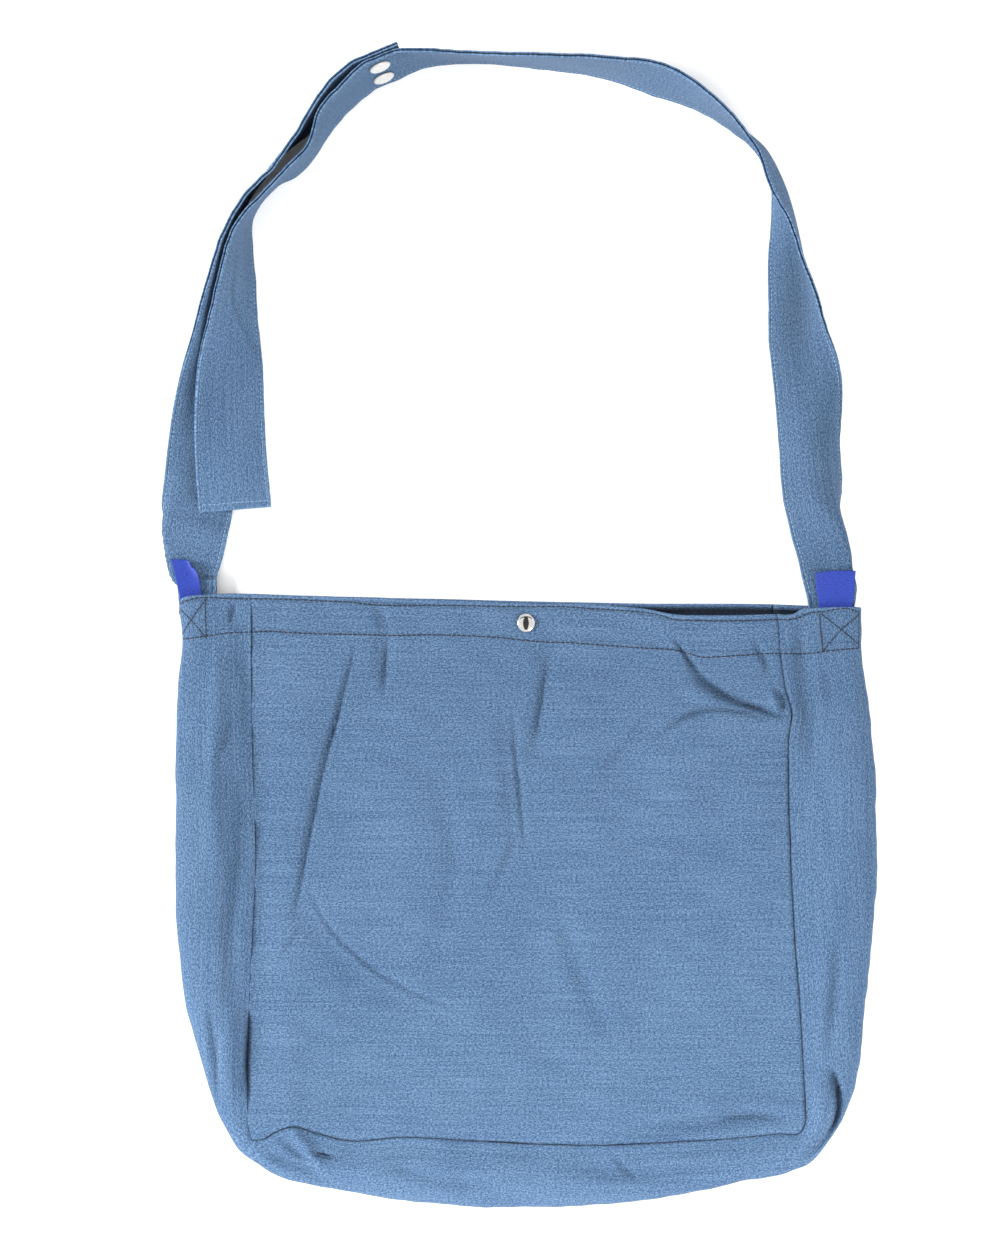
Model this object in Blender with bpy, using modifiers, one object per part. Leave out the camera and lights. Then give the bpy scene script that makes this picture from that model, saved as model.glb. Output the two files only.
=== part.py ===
"""A denim shoulder tote, lying on its back with its strap laid out above it.

X runs across the bag, Y from its base towards the strap, Z up from the surface it lies on.
The origin is on the underside of the back panel, at the panel's middle. Sizes are in metres.
"""

import math

import bmesh
import bpy
from mathutils import Vector
from mathutils.bvhtree import BVHTree

# The cloth body: two square panels joined by one long strip that is the sides and the base.
PANEL_WIDTH = 0.370
PANEL_HEIGHT = 0.367
GUSSET_DEPTH = 0.110
LIE_HEIGHT = 0.016
CLOTH = 0.0012
HEM_DEPTH = 0.026
HEM_CLOTH = 0.0024
HEM_STEP = 0.0015
SEAM_GAP = 0.0003
SEAM_DIP = 0.0012
BACK_INSET = 0.985
PANEL_CROWN = 0.0015

# The strap: two stitched bands of doubled cloth, snapped together near the top.
STRAP_WIDTH = 0.050
STRAP_THICK = 0.0022
STRAP_RISE = 0.373
STRAP_IN_HEM = 0.022
STRAP_REACH = 0.242
STRAP_STEP = 0.0125
FIT_GAP = 0.0005

# The snaps.
CLOSURE_CAP = 0.0125
STRAP_CAP = 0.0150
CAP_HEIGHT = 0.0018
BACK_STANDOFF = 0.0025
POST_WIDTH = 0.0042
POST_CLEARANCE = 0.0004
SOCKET_WIDTH = 0.0100
SOCKET_HEIGHT = 0.0020
STUD_HEIGHT = 0.0014
SNAP_FROM_EDGE = 0.52
SNAP_FLAT = 0.013
SNAP_SPACING = 0.0215
SNAP_SIDES = 16
STRAP_SNAP_FROM_TAIL = 0.341
STRAP_END_PAST_SNAP = 0.017

# The two folded woven tags in the hem.
TAG_WIDTH = 0.029
TAG_HEIGHT = 0.025
TAG_IN_HEM = 0.006
TAG_THICK = 0.0008
TAG_STIFF = 0.9
TAG_CLEARANCE = 0.0006

MOUTH_Y = PANEL_HEIGHT / 2
HALF_WIDTH = PANEL_WIDTH / 2
HALF_GUSSET = GUSSET_DEPTH / 2

# Stations of the side and base strip, from the left end of the mouth round to the right end.
# seam_x, seam_y: the front seam, as shares of half the panel's width and height.
# out_x, out_y: from the seam to the outer fold, as shares of half the strip's depth.
# crest, seam: heights of the strip's top and of its front seam, as shares of LIE_HEIGHT.
# soft: how much of the reach the round of the fold takes.
HOOP = [
    dict(seam_x=-1.022, seam_y=1.000, out_x=-0.90, out_y=0.00, crest=0.79, seam=0.77, soft=0.13),
    dict(seam_x=-1.022, seam_y=0.855, out_x=-0.87, out_y=0.00, crest=0.80, seam=0.78, soft=0.15),
    dict(seam_x=-1.022, seam_y=0.700, out_x=-0.91, out_y=0.00, crest=0.88, seam=0.80, soft=0.30),
    dict(seam_x=-1.017, seam_y=0.400, out_x=-0.96, out_y=0.00, crest=1.00, seam=0.76, soft=0.42),
    dict(seam_x=-1.007, seam_y=0.060, out_x=-1.00, out_y=0.00, crest=1.04, seam=0.72, soft=0.45),
    dict(seam_x=-1.019, seam_y=-0.27, out_x=-0.93, out_y=0.00, crest=1.06, seam=0.76, soft=0.45),
    dict(seam_x=-1.030, seam_y=-0.50, out_x=-0.79, out_y=0.00, crest=1.08, seam=0.82, soft=0.45),
    dict(seam_x=-1.035, seam_y=-0.72, out_x=-0.58, out_y=-0.02, crest=1.10, seam=0.90, soft=0.52),
    dict(seam_x=-1.034, seam_y=-0.88, out_x=-0.41, out_y=-0.03, crest=1.06, seam=0.98, soft=0.62),
    dict(seam_x=-1.030, seam_y=-0.97, out_x=-0.27, out_y=-0.05, crest=1.02, seam=1.00, soft=0.80),
    dict(seam_x=-1.015, seam_y=-1.012, out_x=-0.16, out_y=-0.16, crest=1.02, seam=1.00, soft=0.85),
    dict(seam_x=-0.975, seam_y=-1.010, out_x=-0.06, out_y=-0.33, crest=1.08, seam=1.02, soft=0.70),
    dict(seam_x=-0.930, seam_y=-0.985, out_x=-0.04, out_y=-0.52, crest=1.16, seam=1.06, soft=0.55),
    dict(seam_x=-0.865, seam_y=-0.963, out_x=-0.03, out_y=-0.68, crest=1.22, seam=1.10, soft=0.45),
    dict(seam_x=-0.775, seam_y=-0.988, out_x=0.03, out_y=-0.67, crest=1.22, seam=0.96, soft=0.45),
    dict(seam_x=-0.675, seam_y=-1.014, out_x=0.05, out_y=-0.66, crest=1.20, seam=0.90, soft=0.45),
    dict(seam_x=-0.450, seam_y=-1.004, out_x=0.05, out_y=-0.80, crest=1.20, seam=0.88, soft=0.42),
    dict(seam_x=-0.210, seam_y=-1.016, out_x=0.02, out_y=-0.83, crest=1.22, seam=0.84, soft=0.42),
    dict(seam_x=0.050, seam_y=-1.030, out_x=0.00, out_y=-0.80, crest=1.22, seam=0.82, soft=0.42),
    dict(seam_x=0.300, seam_y=-1.034, out_x=0.00, out_y=-0.74, crest=1.20, seam=0.84, soft=0.42),
    dict(seam_x=0.540, seam_y=-1.022, out_x=0.04, out_y=-0.67, crest=1.18, seam=0.86, soft=0.45),
    dict(seam_x=0.770, seam_y=-1.008, out_x=0.08, out_y=-0.55, crest=1.16, seam=0.90, soft=0.50),
    dict(seam_x=0.940, seam_y=-0.990, out_x=0.13, out_y=-0.48, crest=1.16, seam=0.98, soft=0.55),
    dict(seam_x=1.020, seam_y=-0.984, out_x=0.20, out_y=-0.32, crest=1.12, seam=1.02, soft=0.65),
    dict(seam_x=1.037, seam_y=-0.950, out_x=0.36, out_y=-0.15, crest=1.14, seam=1.02, soft=0.60),
    dict(seam_x=1.036, seam_y=-0.880, out_x=0.54, out_y=-0.06, crest=1.18, seam=0.98, soft=0.52),
    dict(seam_x=1.030, seam_y=-0.740, out_x=0.69, out_y=-0.03, crest=1.16, seam=0.90, soft=0.48),
    dict(seam_x=1.019, seam_y=-0.530, out_x=0.82, out_y=0.00, crest=1.12, seam=0.82, soft=0.45),
    dict(seam_x=1.000, seam_y=-0.270, out_x=0.95, out_y=0.00, crest=1.08, seam=0.76, soft=0.42),
    dict(seam_x=0.985, seam_y=0.020, out_x=1.08, out_y=0.00, crest=1.04, seam=0.74, soft=0.42),
    dict(seam_x=0.976, seam_y=0.310, out_x=1.09, out_y=0.00, crest=1.02, seam=0.76, soft=0.40),
    dict(seam_x=0.979, seam_y=0.515, out_x=1.03, out_y=0.00, crest=0.98, seam=0.82, soft=0.36),
    dict(seam_x=0.989, seam_y=0.583, out_x=0.98, out_y=0.00, crest=0.94, seam=0.84, soft=0.32),
    dict(seam_x=0.966, seam_y=0.680, out_x=1.01, out_y=0.00, crest=0.88, seam=0.82, soft=0.28),
    dict(seam_x=0.945, seam_y=0.855, out_x=1.03, out_y=0.00, crest=0.80, seam=0.80, soft=0.14),
    dict(seam_x=0.932, seam_y=1.000, out_x=1.06, out_y=0.00, crest=0.79, seam=0.82, soft=0.12),
]
LEFT_CORNER = 10
RIGHT_CORNER = 23
SIDE_STATIONS = 16
BASE_STATIONS = 18

# The line of the mouth. x is a share of half the panel's width; front and back are how far the
# hems' edges lie below the mouth line, as shares of HEM_DEPTH; height is the front edge's, as a
# share of LIE_HEIGHT.
MOUTH = [
    dict(x=-1.300, front=-0.05, back=-0.05, height=0.76),
    dict(x=-1.265, front=-0.14, back=-0.10, height=0.76),
    dict(x=-1.180, front=-0.20, back=-0.13, height=0.76),
    dict(x=-0.830, front=-0.17, back=-0.13, height=0.70),
    dict(x=-0.300, front=-0.05, back=-0.08, height=0.68),
    dict(x=-0.045, front=0.03, back=-0.03, height=0.68),
    dict(x=0.305, front=0.09, back=0.02, height=0.69),
    dict(x=0.460, front=0.20, back=0.04, height=0.72),
    dict(x=0.535, front=0.31, back=0.04, height=0.78),
    dict(x=0.660, front=0.35, back=0.04, height=0.82),
    dict(x=0.930, front=0.32, back=0.06, height=0.82),
    dict(x=1.010, front=0.26, back=0.08, height=0.78),
    dict(x=1.060, front=0.19, back=0.10, height=0.76),
    dict(x=1.200, front=0.13, back=0.12, height=0.76),
    dict(x=1.260, front=0.14, back=0.14, height=0.76),
]

# The main dents and ridges of the upper layer. x and y are shares of half the panel's width and
# height, wide a share of HEM_DEPTH, and high a share of LIE_HEIGHT: below zero it is a dent.
FOLDS = [
    dict(x0=-0.63, y0=0.83, x1=-0.74, y1=0.30, wide=0.26, high=-0.13),
    dict(x0=-0.74, y0=0.30, x1=-0.85, y1=-0.13, wide=0.28, high=-0.16),
    dict(x0=-0.80, y0=-0.12, x1=-0.46, y1=-0.53, wide=0.24, high=-0.09),
    dict(x0=-0.04, y0=0.66, x1=0.00, y1=0.12, wide=0.24, high=-0.12),
    dict(x0=0.10, y0=0.74, x1=0.02, y1=0.44, wide=0.26, high=-0.10),
    dict(x0=0.56, y0=0.92, x1=0.96, y1=0.58, wide=0.42, high=0.14),
    dict(x0=0.48, y0=0.86, x1=0.84, y1=0.52, wide=0.30, high=-0.14),
    dict(x0=0.36, y0=0.52, x1=0.98, y1=0.57, wide=0.26, high=-0.10),
    dict(x0=-1.15, y0=-0.30, x1=-1.14, y1=-0.88, wide=0.20, high=-0.30),
    dict(x0=1.18, y0=-0.62, x1=1.16, y1=-1.00, wide=0.20, high=-0.34),
    dict(x0=1.16, y0=-1.00, x1=0.98, y1=-1.16, wide=0.20, high=-0.26),
    dict(x0=-0.86, y0=-1.02, x1=-0.62, y1=-1.22, wide=0.26, high=-0.24),
    dict(x0=1.12, y0=0.86, x1=1.10, y1=0.40, wide=0.36, high=-0.16),
    dict(x0=0.45, y0=-0.93, x1=0.94, y1=-0.88, wide=0.36, high=-0.12),
]

# Stations of the strap's middle line. x is a share of STRAP_REACH; y is measured from the mouth
# line, as a share of STRAP_RISE; roll is the tilt of the band, 0 lying and 90 on its edge; fold is
# the angle between its outer and inner edges, crease where across the width that bend lies and
# round the share of the width it takes. lift is the height of the lowest point, as a share of
# LIE_HEIGHT.
LONG_BAND = [
    dict(x=0.907, y=-0.008, roll=-90, fold=-180, crease=0.64, round=0.10, lift=0.17),
    dict(x=0.901, y=0.021, roll=-90, fold=-180, crease=0.70, round=0.10, lift=0.14),
    dict(x=0.886, y=0.059, roll=-90, fold=-178, crease=0.72, round=0.11, lift=0.06),
    dict(x=0.873, y=0.097, roll=-76, fold=-168, crease=0.74, round=0.14, lift=0.00),
    dict(x=0.853, y=0.134, roll=-54, fold=-140, crease=0.74, round=0.25, lift=0.00),
    dict(x=0.831, y=0.188, roll=-26, fold=-98, crease=0.62, round=0.55, lift=0.00),
    dict(x=0.811, y=0.290, roll=-8, fold=-98, crease=0.55, round=0.70, lift=0.00),
    dict(x=0.802, y=0.365, roll=6, fold=-72, crease=0.50, round=0.70, lift=0.00),
    dict(x=0.789, y=0.424, roll=24, fold=-30, crease=0.50, round=0.55, lift=0.00),
    dict(x=0.777, y=0.486, roll=40, fold=8, crease=0.55, round=0.40, lift=0.00),
    dict(x=0.777, y=0.550, roll=53, fold=35, crease=0.60, round=0.30, lift=0.00),
    dict(x=0.770, y=0.617, roll=67, fold=54, crease=0.60, round=0.26, lift=0.00),
    dict(x=0.750, y=0.706, roll=86, fold=49, crease=0.60, round=0.26, lift=0.00),
    dict(x=0.732, y=0.754, roll=99, fold=50, crease=0.60, round=0.26, lift=0.00),
    dict(x=0.711, y=0.789, roll=102, fold=40, crease=0.60, round=0.30, lift=0.00),
    dict(x=0.674, y=0.829, roll=98, fold=26, crease=0.60, round=0.36, lift=0.00),
    dict(x=0.600, y=0.869, roll=90, fold=2, crease=0.50, round=0.40, lift=0.00),
    dict(x=0.467, y=0.932, roll=78, fold=0, crease=0.50, round=0.40, lift=0.00),
    dict(x=0.397, y=0.953, roll=72, fold=0, crease=0.50, round=0.40, lift=0.00),
    dict(x=0.230, y=0.980, roll=81, fold=0, crease=0.50, round=0.40, lift=0.00),
    dict(x=0.041, y=0.992, roll=87, fold=0, crease=0.50, round=0.40, lift=0.00),
    dict(x=-0.159, y=0.999, roll=90, fold=0, crease=0.50, round=0.40, lift=0.00),
    dict(x=-0.303, y=0.996, roll=83, fold=0, crease=0.50, round=0.40, lift=0.05),
    dict(x=-0.360, y=0.988, roll=77, fold=0, crease=0.50, round=0.40, lift=0.07),
    dict(x=-0.412, y=0.977, roll=74, fold=0, crease=0.50, round=0.40, lift=0.07),
    dict(x=-0.463, y=0.955, roll=76, fold=0, crease=0.50, round=0.40, lift=0.07),
    dict(x=-0.511, y=0.926, roll=78, fold=0, crease=0.50, round=0.40, lift=0.05),
    dict(x=-0.564, y=0.887, roll=79, fold=0, crease=0.50, round=0.40, lift=0.00),
    dict(x=-0.584, y=0.861, roll=83, fold=0, crease=0.50, round=0.40, lift=0.00),
    dict(x=-0.606, y=0.830, roll=87, fold=0, crease=0.50, round=0.40, lift=0.00),
    dict(x=-0.665, y=0.790, roll=87, fold=0, crease=0.50, round=0.40, lift=0.00),
    dict(x=-0.702, y=0.772, roll=92, fold=0, crease=0.50, round=0.40, lift=0.00),
    dict(x=-0.750, y=0.740, roll=93, fold=0, crease=0.50, round=0.40, lift=0.00),
    dict(x=-0.786, y=0.709, roll=88, fold=0, crease=0.50, round=0.40, lift=0.00),
    dict(x=-0.808, y=0.660, roll=76, fold=0, crease=0.50, round=0.40, lift=0.00),
    dict(x=-0.820, y=0.597, roll=65, fold=4, crease=0.50, round=0.40, lift=0.00),
    dict(x=-0.832, y=0.520, roll=53, fold=6, crease=0.50, round=0.40, lift=0.02),
    dict(x=-0.840, y=0.432, roll=32, fold=4, crease=0.50, round=0.40, lift=0.06),
    dict(x=-0.842, y=0.346, roll=21, fold=0, crease=0.50, round=0.40, lift=0.10),
    dict(x=-0.838, y=0.270, roll=16, fold=-4, crease=0.50, round=0.40, lift=0.14),
    dict(x=-0.826, y=0.170, roll=8, fold=-8, crease=0.50, round=0.40, lift=0.20),
]
SHORT_BAND = [
    dict(x=-0.957, y=0.012, roll=-90, fold=-180, crease=0.48, round=0.10, lift=0.17),
    dict(x=-0.982, y=0.031, roll=-90, fold=-180, crease=0.56, round=0.10, lift=0.12),
    dict(x=-0.985, y=0.046, roll=-90, fold=-180, crease=0.64, round=0.10, lift=0.06),
    dict(x=-0.977, y=0.070, roll=-90, fold=-180, crease=0.75, round=0.10, lift=0.00),
    dict(x=-0.964, y=0.097, roll=-90, fold=-180, crease=0.85, round=0.09, lift=0.00),
    dict(x=-0.951, y=0.134, roll=-84, fold=-168, crease=0.92, round=0.09, lift=0.00),
    dict(x=-0.941, y=0.165, roll=-30, fold=-70, crease=0.91, round=0.12, lift=0.00),
    dict(x=-0.930, y=0.209, roll=-2, fold=-14, crease=0.80, round=0.30, lift=0.00),
    dict(x=-0.917, y=0.282, roll=4, fold=-8, crease=0.60, round=0.50, lift=0.00),
    dict(x=-0.900, y=0.357, roll=16, fold=0, crease=0.50, round=0.40, lift=0.00),
    dict(x=-0.886, y=0.408, roll=26, fold=0, crease=0.50, round=0.40, lift=0.00),
    dict(x=-0.871, y=0.483, roll=48, fold=0, crease=0.50, round=0.40, lift=0.00),
    dict(x=-0.860, y=0.546, roll=59, fold=0, crease=0.50, round=0.40, lift=0.00),
    dict(x=-0.852, y=0.590, roll=67, fold=0, crease=0.50, round=0.40, lift=0.00),
    dict(x=-0.838, y=0.658, roll=77, fold=0, crease=0.50, round=0.40, lift=0.00),
    dict(x=-0.807, y=0.723, roll=86, fold=0, crease=0.50, round=0.40, lift=0.00),
    dict(x=-0.779, y=0.753, roll=87, fold=0, crease=0.50, round=0.40, lift=0.00),
    dict(x=-0.731, y=0.787, roll=84, fold=0, crease=0.50, round=0.40, lift=0.00),
    dict(x=-0.691, y=0.822, roll=82, fold=0, crease=0.50, round=0.40, lift=0.00),
    dict(x=-0.638, y=0.859, roll=80, fold=0, crease=0.50, round=0.40, lift=0.00),
    dict(x=-0.585, y=0.897, roll=78, fold=0, crease=0.50, round=0.40, lift=0.02),
    dict(x=-0.537, y=0.933, roll=76, fold=0, crease=0.50, round=0.40, lift=0.05),
]

# The tags. x is a share of half the panel's width, foot and head the widths at the hem and at the
# free end as shares of TAG_WIDTH, lean the sideways run per height, and curl the rise of the free
# corner on that side, as a share of TAG_HEIGHT.
TAGS = [
    dict(name="left_tag", x=-1.226, foot=0.38, head=0.62, lean=-0.24, curl=0.5, side=1),
    dict(name="right_tag", x=1.152, foot=0.80, head=1.00, lean=-0.03, curl=0.3, side=-1),
]

DENIM = dict(name="denim", color=(0.115, 0.228, 0.410, 1.0), roughness=0.88, metallic=0.0)
TAG_WEAVE = dict(name="tag_weave", color=(0.035, 0.080, 0.560, 1.0), roughness=0.60, metallic=0.0)
NICKEL = dict(name="nickel", color=(0.720, 0.715, 0.700, 1.0), roughness=0.22, metallic=1.0)
ENAMEL = dict(name="enamel", color=(0.800, 0.795, 0.770, 1.0), roughness=0.35, metallic=0.0)


def material(spec):
    found = bpy.data.materials.get(spec["name"])
    if found:
        return found
    made = bpy.data.materials.new(spec["name"])
    made.use_nodes = True
    shader = made.node_tree.nodes["Principled BSDF"]
    shader.inputs["Base Color"].default_value = spec["color"]
    shader.inputs["Roughness"].default_value = spec["roughness"]
    shader.inputs["Metallic"].default_value = spec["metallic"]
    made.diffuse_color = spec["color"]
    return made


def collection(name):
    made = bpy.data.collections.new(name)
    bpy.context.scene.collection.children.link(made)
    return made


def smooth(rows, keys, at):
    """Every column of a table read at a place along it, on one smooth curve through its rows."""
    last = len(rows) - 1
    i = min(max(next((k for k in range(last) if at < keys[k + 1]), last - 1), 0), last - 1)
    step = keys[i + 1] - keys[i]
    share = (at - keys[i]) / step
    read = {}
    for column in rows[0]:
        value = [row[column] for row in rows]

        def slope(k):
            if k in (0, last):
                near = 1 if k == 0 else last
                return (value[near] - value[near - 1]) / (keys[near] - keys[near - 1])
            before, after = keys[k] - keys[k - 1], keys[k + 1] - keys[k]
            fall = (value[k] - value[k - 1]) / before
            rise = (value[k + 1] - value[k]) / after
            return (fall * after + rise * before) / (before + after)

        s2, s3 = share * share, share**3
        read[column] = (
            value[i] * (2 * s3 - 3 * s2 + 1)
            + value[i + 1] * (3 * s2 - 2 * s3)
            + step * slope(i) * (s3 - 2 * s2 + share)
            + step * slope(i + 1) * (s3 - s2)
        )
    return read


def lengths(points):
    """The distance along a line of points, at each point."""
    total = [0.0]
    for a, b in zip(points, points[1:]):
        total.append(total[-1] + (b - a).length)
    return total


def shell(name, outer, inner, look, home):
    """One closed sheet of cloth between two grids of points of the same size."""
    rows, columns = len(outer), len(outer[0])
    bm = bmesh.new()
    faces_of = [[[bm.verts.new(p) for p in row] for row in grid] for grid in (outer, inner)]
    top, under = faces_of
    for i in range(rows - 1):
        for j in range(columns - 1):
            bm.faces.new((top[i][j], top[i][j + 1], top[i + 1][j + 1], top[i + 1][j]))
            bm.faces.new((under[i][j], under[i + 1][j], under[i + 1][j + 1], under[i][j + 1]))
    rim = [(0, j) for j in range(columns)]
    rim += [(i, columns - 1) for i in range(1, rows)]
    rim += [(rows - 1, j) for j in range(columns - 2, -1, -1)]
    rim += [(i, 0) for i in range(rows - 2, 0, -1)]
    for (a, b), (c, d) in zip(rim, rim[1:] + rim[:1]):
        bm.faces.new((top[a][b], under[a][b], under[c][d], top[c][d]))
    bmesh.ops.recalc_face_normals(bm, faces=bm.faces)
    return mesh_object(name, bm, look, home)


def mesh_object(name, bm, look, home):
    mesh = bpy.data.meshes.new(name)
    bm.to_mesh(mesh)
    bm.free()
    made = bpy.data.objects.new(name, mesh)
    home.objects.link(made)
    made.data.materials.append(material(look))
    mesh.shade_smooth()
    mesh.set_sharp_from_angle(angle=math.radians(40))
    return made


def relief(x, y):
    """How far the folds raise or lower the upper layer at a place."""
    total = 0.0
    for fold in FOLDS:
        a = Vector((fold["x0"] * HALF_WIDTH, fold["y0"] * PANEL_HEIGHT / 2))
        b = Vector((fold["x1"] * HALF_WIDTH, fold["y1"] * PANEL_HEIGHT / 2))
        along = b - a
        share = min(max((Vector((x, y)) - a).dot(along) / along.length_squared, 0.0), 1.0)
        away = (Vector((x, y)) - a - share * along).length / (fold["wide"] * HEM_DEPTH)
        total += fold["high"] * LIE_HEIGHT * math.exp(-away * away)
    return total


def mouth(x):
    keys = [row["x"] for row in MOUTH]
    return smooth(MOUTH, keys, min(max(x / HALF_WIDTH, keys[0]), keys[-1]))


def mouth_shift(x, y, side):
    """How far the uneven edge of a hem moves the cloth at a place, fading out below the hem."""
    below = (MOUTH_Y - HEM_DEPTH - y) / (3 * HEM_DEPTH)
    fade = 1.0 if below < 0 else max(0.0, 1 - below) ** 2
    return -mouth(x)[side] * HEM_DEPTH * fade


def hoop_stations():
    """The rows of the side and base strip, spaced evenly but for the hem at each end."""
    seam = [Vector((r["seam_x"] * HALF_WIDTH, r["seam_y"] * PANEL_HEIGHT / 2)) for r in HOOP]
    keys = lengths(seam)
    left, right, end = keys[LEFT_CORNER], keys[RIGHT_CORNER], keys[-1]
    hem = [0.0, HEM_DEPTH / 2, HEM_DEPTH, HEM_DEPTH + HEM_STEP]
    below = SIDE_STATIONS - len(hem) + 1

    def side(length):
        rest = length - hem[-1]
        shares = [1 - (1 - k / below) ** 1.3 for k in range(1, below + 1)]
        return hem + [hem[-1] + rest * share for share in shares]

    places = side(left)
    places += [left + (right - left) * k / BASE_STATIONS for k in range(1, BASE_STATIONS)]
    places += [end - d for d in reversed(side(end - right))]
    return [dict(smooth(HOOP, keys, d), hem=min(d, end - d) <= HEM_DEPTH) for d in places]


def seam_point(row):
    return Vector((row["seam_x"] * HALF_WIDTH, row["seam_y"] * PANEL_HEIGHT / 2))


def inward(points, k):
    """The way from the seam to the panel's middle at a point, longer where the seam turns."""
    before = points[max(k, 1)] - points[max(k, 1) - 1]
    after = points[min(k, len(points) - 2) + 1] - points[min(k, len(points) - 2)]
    middle = (before.normalized() + after.normalized()).normalized()
    along = middle / middle.dot(after.normalized())
    return Vector((-along.y, along.x))


def strip_section(row, seam, back, thick):
    """One section of the strip: from the front seam over the top, round the fold, to the back."""
    out = Vector((row["out_x"], row["out_y"])) * HALF_GUSSET
    crest, seam_z = row["crest"] * LIE_HEIGHT, row["seam"] * LIE_HEIGHT
    fold_z, reach, soft = crest / 2, out.length, row["soft"]
    tip = seam + out
    under = back - tip
    under_soft = min(soft * reach, 1.2 * fold_z, 0.7 * under.length)
    profile = []
    for share in (0.0, 0.08, 0.30, 0.62):
        rise = share * share * (3 - 2 * share)
        dip = SEAM_DIP if share == 0 else 0.0
        profile.append((share * (1 - soft), seam_z + (crest - seam_z) * rise - dip))
    for angle in (0, 25, 48, 70, 90):
        a = math.radians(angle)
        profile.append((1 - soft + soft * math.sin(a), fold_z + (crest - fold_z) * math.cos(a)))
    outer = []
    for share, z in profile:
        place = seam + share * out
        fade = 1 - share**4
        outer.append(Vector((place.x, place.y, z + relief(place.x, place.y) * fade)))
    for angle in (115, 145, 180):
        a = math.radians(angle)
        place = tip + under.normalized() * under_soft * (1 - math.sin(a))
        outer.append(Vector((place.x, place.y, fold_z * (1 + math.cos(a)))))
    outer.append(Vector((back.x, back.y, 0.0)))
    inner = []
    last = len(outer) - 1
    for k, point in enumerate(outer):
        before, after = outer[max(k - 1, 0)], outer[min(k + 1, last)]
        side = out.normalized() if k < 12 else -under.normalized()
        run = (after - before).to_2d().dot(side)
        normal = Vector((run, after.z - before.z)).normalized()
        turned = Vector((-normal.y, normal.x))
        if k in (0, last):
            turned = Vector((0.0, 1.0 if k == 0 else -1.0))
        inner.append(point - thick * Vector((side.x * turned.x, side.y * turned.x, turned.y)))
    for k, (a, b) in enumerate(zip(outer, inner)):
        share = min(max((k - 7) / 3, 0.0), 1.0)
        shift = (1 - share) * mouth_shift(a.x, a.y, "front") + share * mouth_shift(a.x, a.y, "back")
        a.y += shift
        b.y += shift
    return outer, inner


def side_and_base(rows, front, back, home):
    outer, inner = [], []
    for k, row in enumerate(rows):
        gap = SEAM_GAP / 2
        start = front[k] - gap * inward(front, k)
        finish = back[k] - gap * inward(back, k)
        a, b = strip_section(row, start, finish, HEM_CLOTH if row["hem"] else CLOTH)
        outer.append(a)
        inner.append(b)
    return shell("side_and_base_strip", outer, inner, DENIM, home)


def blend(a, b, share):
    return a * (1 - share) + b * share


def panel_grid(rows, seam, height, side):
    """The points of one square panel, blended from its three seams and its mouth edge."""
    edge = [p + SEAM_GAP / 2 * inward(seam, k) for k, p in enumerate(seam)]
    down = SIDE_STATIONS
    left, right = edge[: down + 1], edge[: -down - 2 : -1]
    base = edge[down : len(edge) - down]
    across = [0.0] + [k / BASE_STATIONS for k in range(1, BASE_STATIONS)] + [1.0]
    high = [height(k) for k in range(len(rows))]
    depth = lengths(left)
    grid = []
    for i in range(down + 1):
        v = depth[i] / depth[-1]
        line = []
        for j, u in enumerate(across):
            top = blend(left[0], right[0], u)
            flat = blend(top, base[j], v)
            sides = blend(left[i], right[i], u)
            corners = blend(blend(left[0], right[0], u), blend(left[-1], right[-1], u), v)
            place = flat + sides - corners
            z_side = blend(high[i], high[-1 - i], u)
            z_base = high[down + j]
            z_ends = blend(high[down], high[len(rows) - 1 - down], u)
            z_top = mouth(place.x)["height"] * LIE_HEIGHT if side == "front" else 0.0
            z_corner = blend(high[0], high[-1], u)
            z = blend(z_top, z_base, v) + z_side - blend(z_corner, z_ends, v)
            line.append(Vector((place.x, place.y, z if side == "front" else 0.0)))
        grid.append(line)
    return grid


def front_panel(rows, seam, home):
    grid = panel_grid(rows, seam, lambda k: rows[k]["seam"] * LIE_HEIGHT, "front")
    outer, inner = [], []
    last = len(grid[0]) - 1
    for i, line in enumerate(grid):
        a, b = [], []
        for j, point in enumerate(line):
            edge = j in (0, last) or i == len(grid) - 1
            crown = PANEL_CROWN * math.sin(math.pi * j / last) * math.sin(math.pi * i / (len(grid) - 1))
            z = point.z + relief(point.x, point.y) + crown - (SEAM_DIP if edge else 0.0)
            y = point.y + mouth_shift(point.x, point.y, "front")
            thick = HEM_CLOTH if rows[i]["hem"] else CLOTH
            a.append(Vector((point.x, y, z)))
            b.append(Vector((point.x, y, z - thick)))
        outer.append(a)
        inner.append(b)
    return shell("front_panel", outer, inner, DENIM, home)


def back_rise(x, y):
    """The back hem stands off the surface by the height of the closure's cap."""
    down = max(0.0, MOUTH_Y - y) / (3.2 * HEM_DEPTH)
    side = abs(x) / (0.8 * HALF_WIDTH)
    if down >= 1 or side >= 1:
        return 0.0
    return BACK_STANDOFF * (1 - down * down) ** 2 * min(1.0, 1.35 * (1 - side * side) ** 2)


def back_panel(rows, seam, home):
    grid = panel_grid(rows, seam, lambda k: 0.0, "back")
    outer, inner = [], []
    for i, line in enumerate(grid):
        a, b = [], []
        for point in line:
            y = point.y + mouth_shift(point.x, point.y, "back")
            z = back_rise(point.x, point.y)
            thick = HEM_CLOTH if rows[i]["hem"] else CLOTH
            a.append(Vector((point.x, y, z + thick)))
            b.append(Vector((point.x, y, z)))
        outer.append(a)
        inner.append(b)
    return shell("back_panel", outer, inner, DENIM, home)


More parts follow.
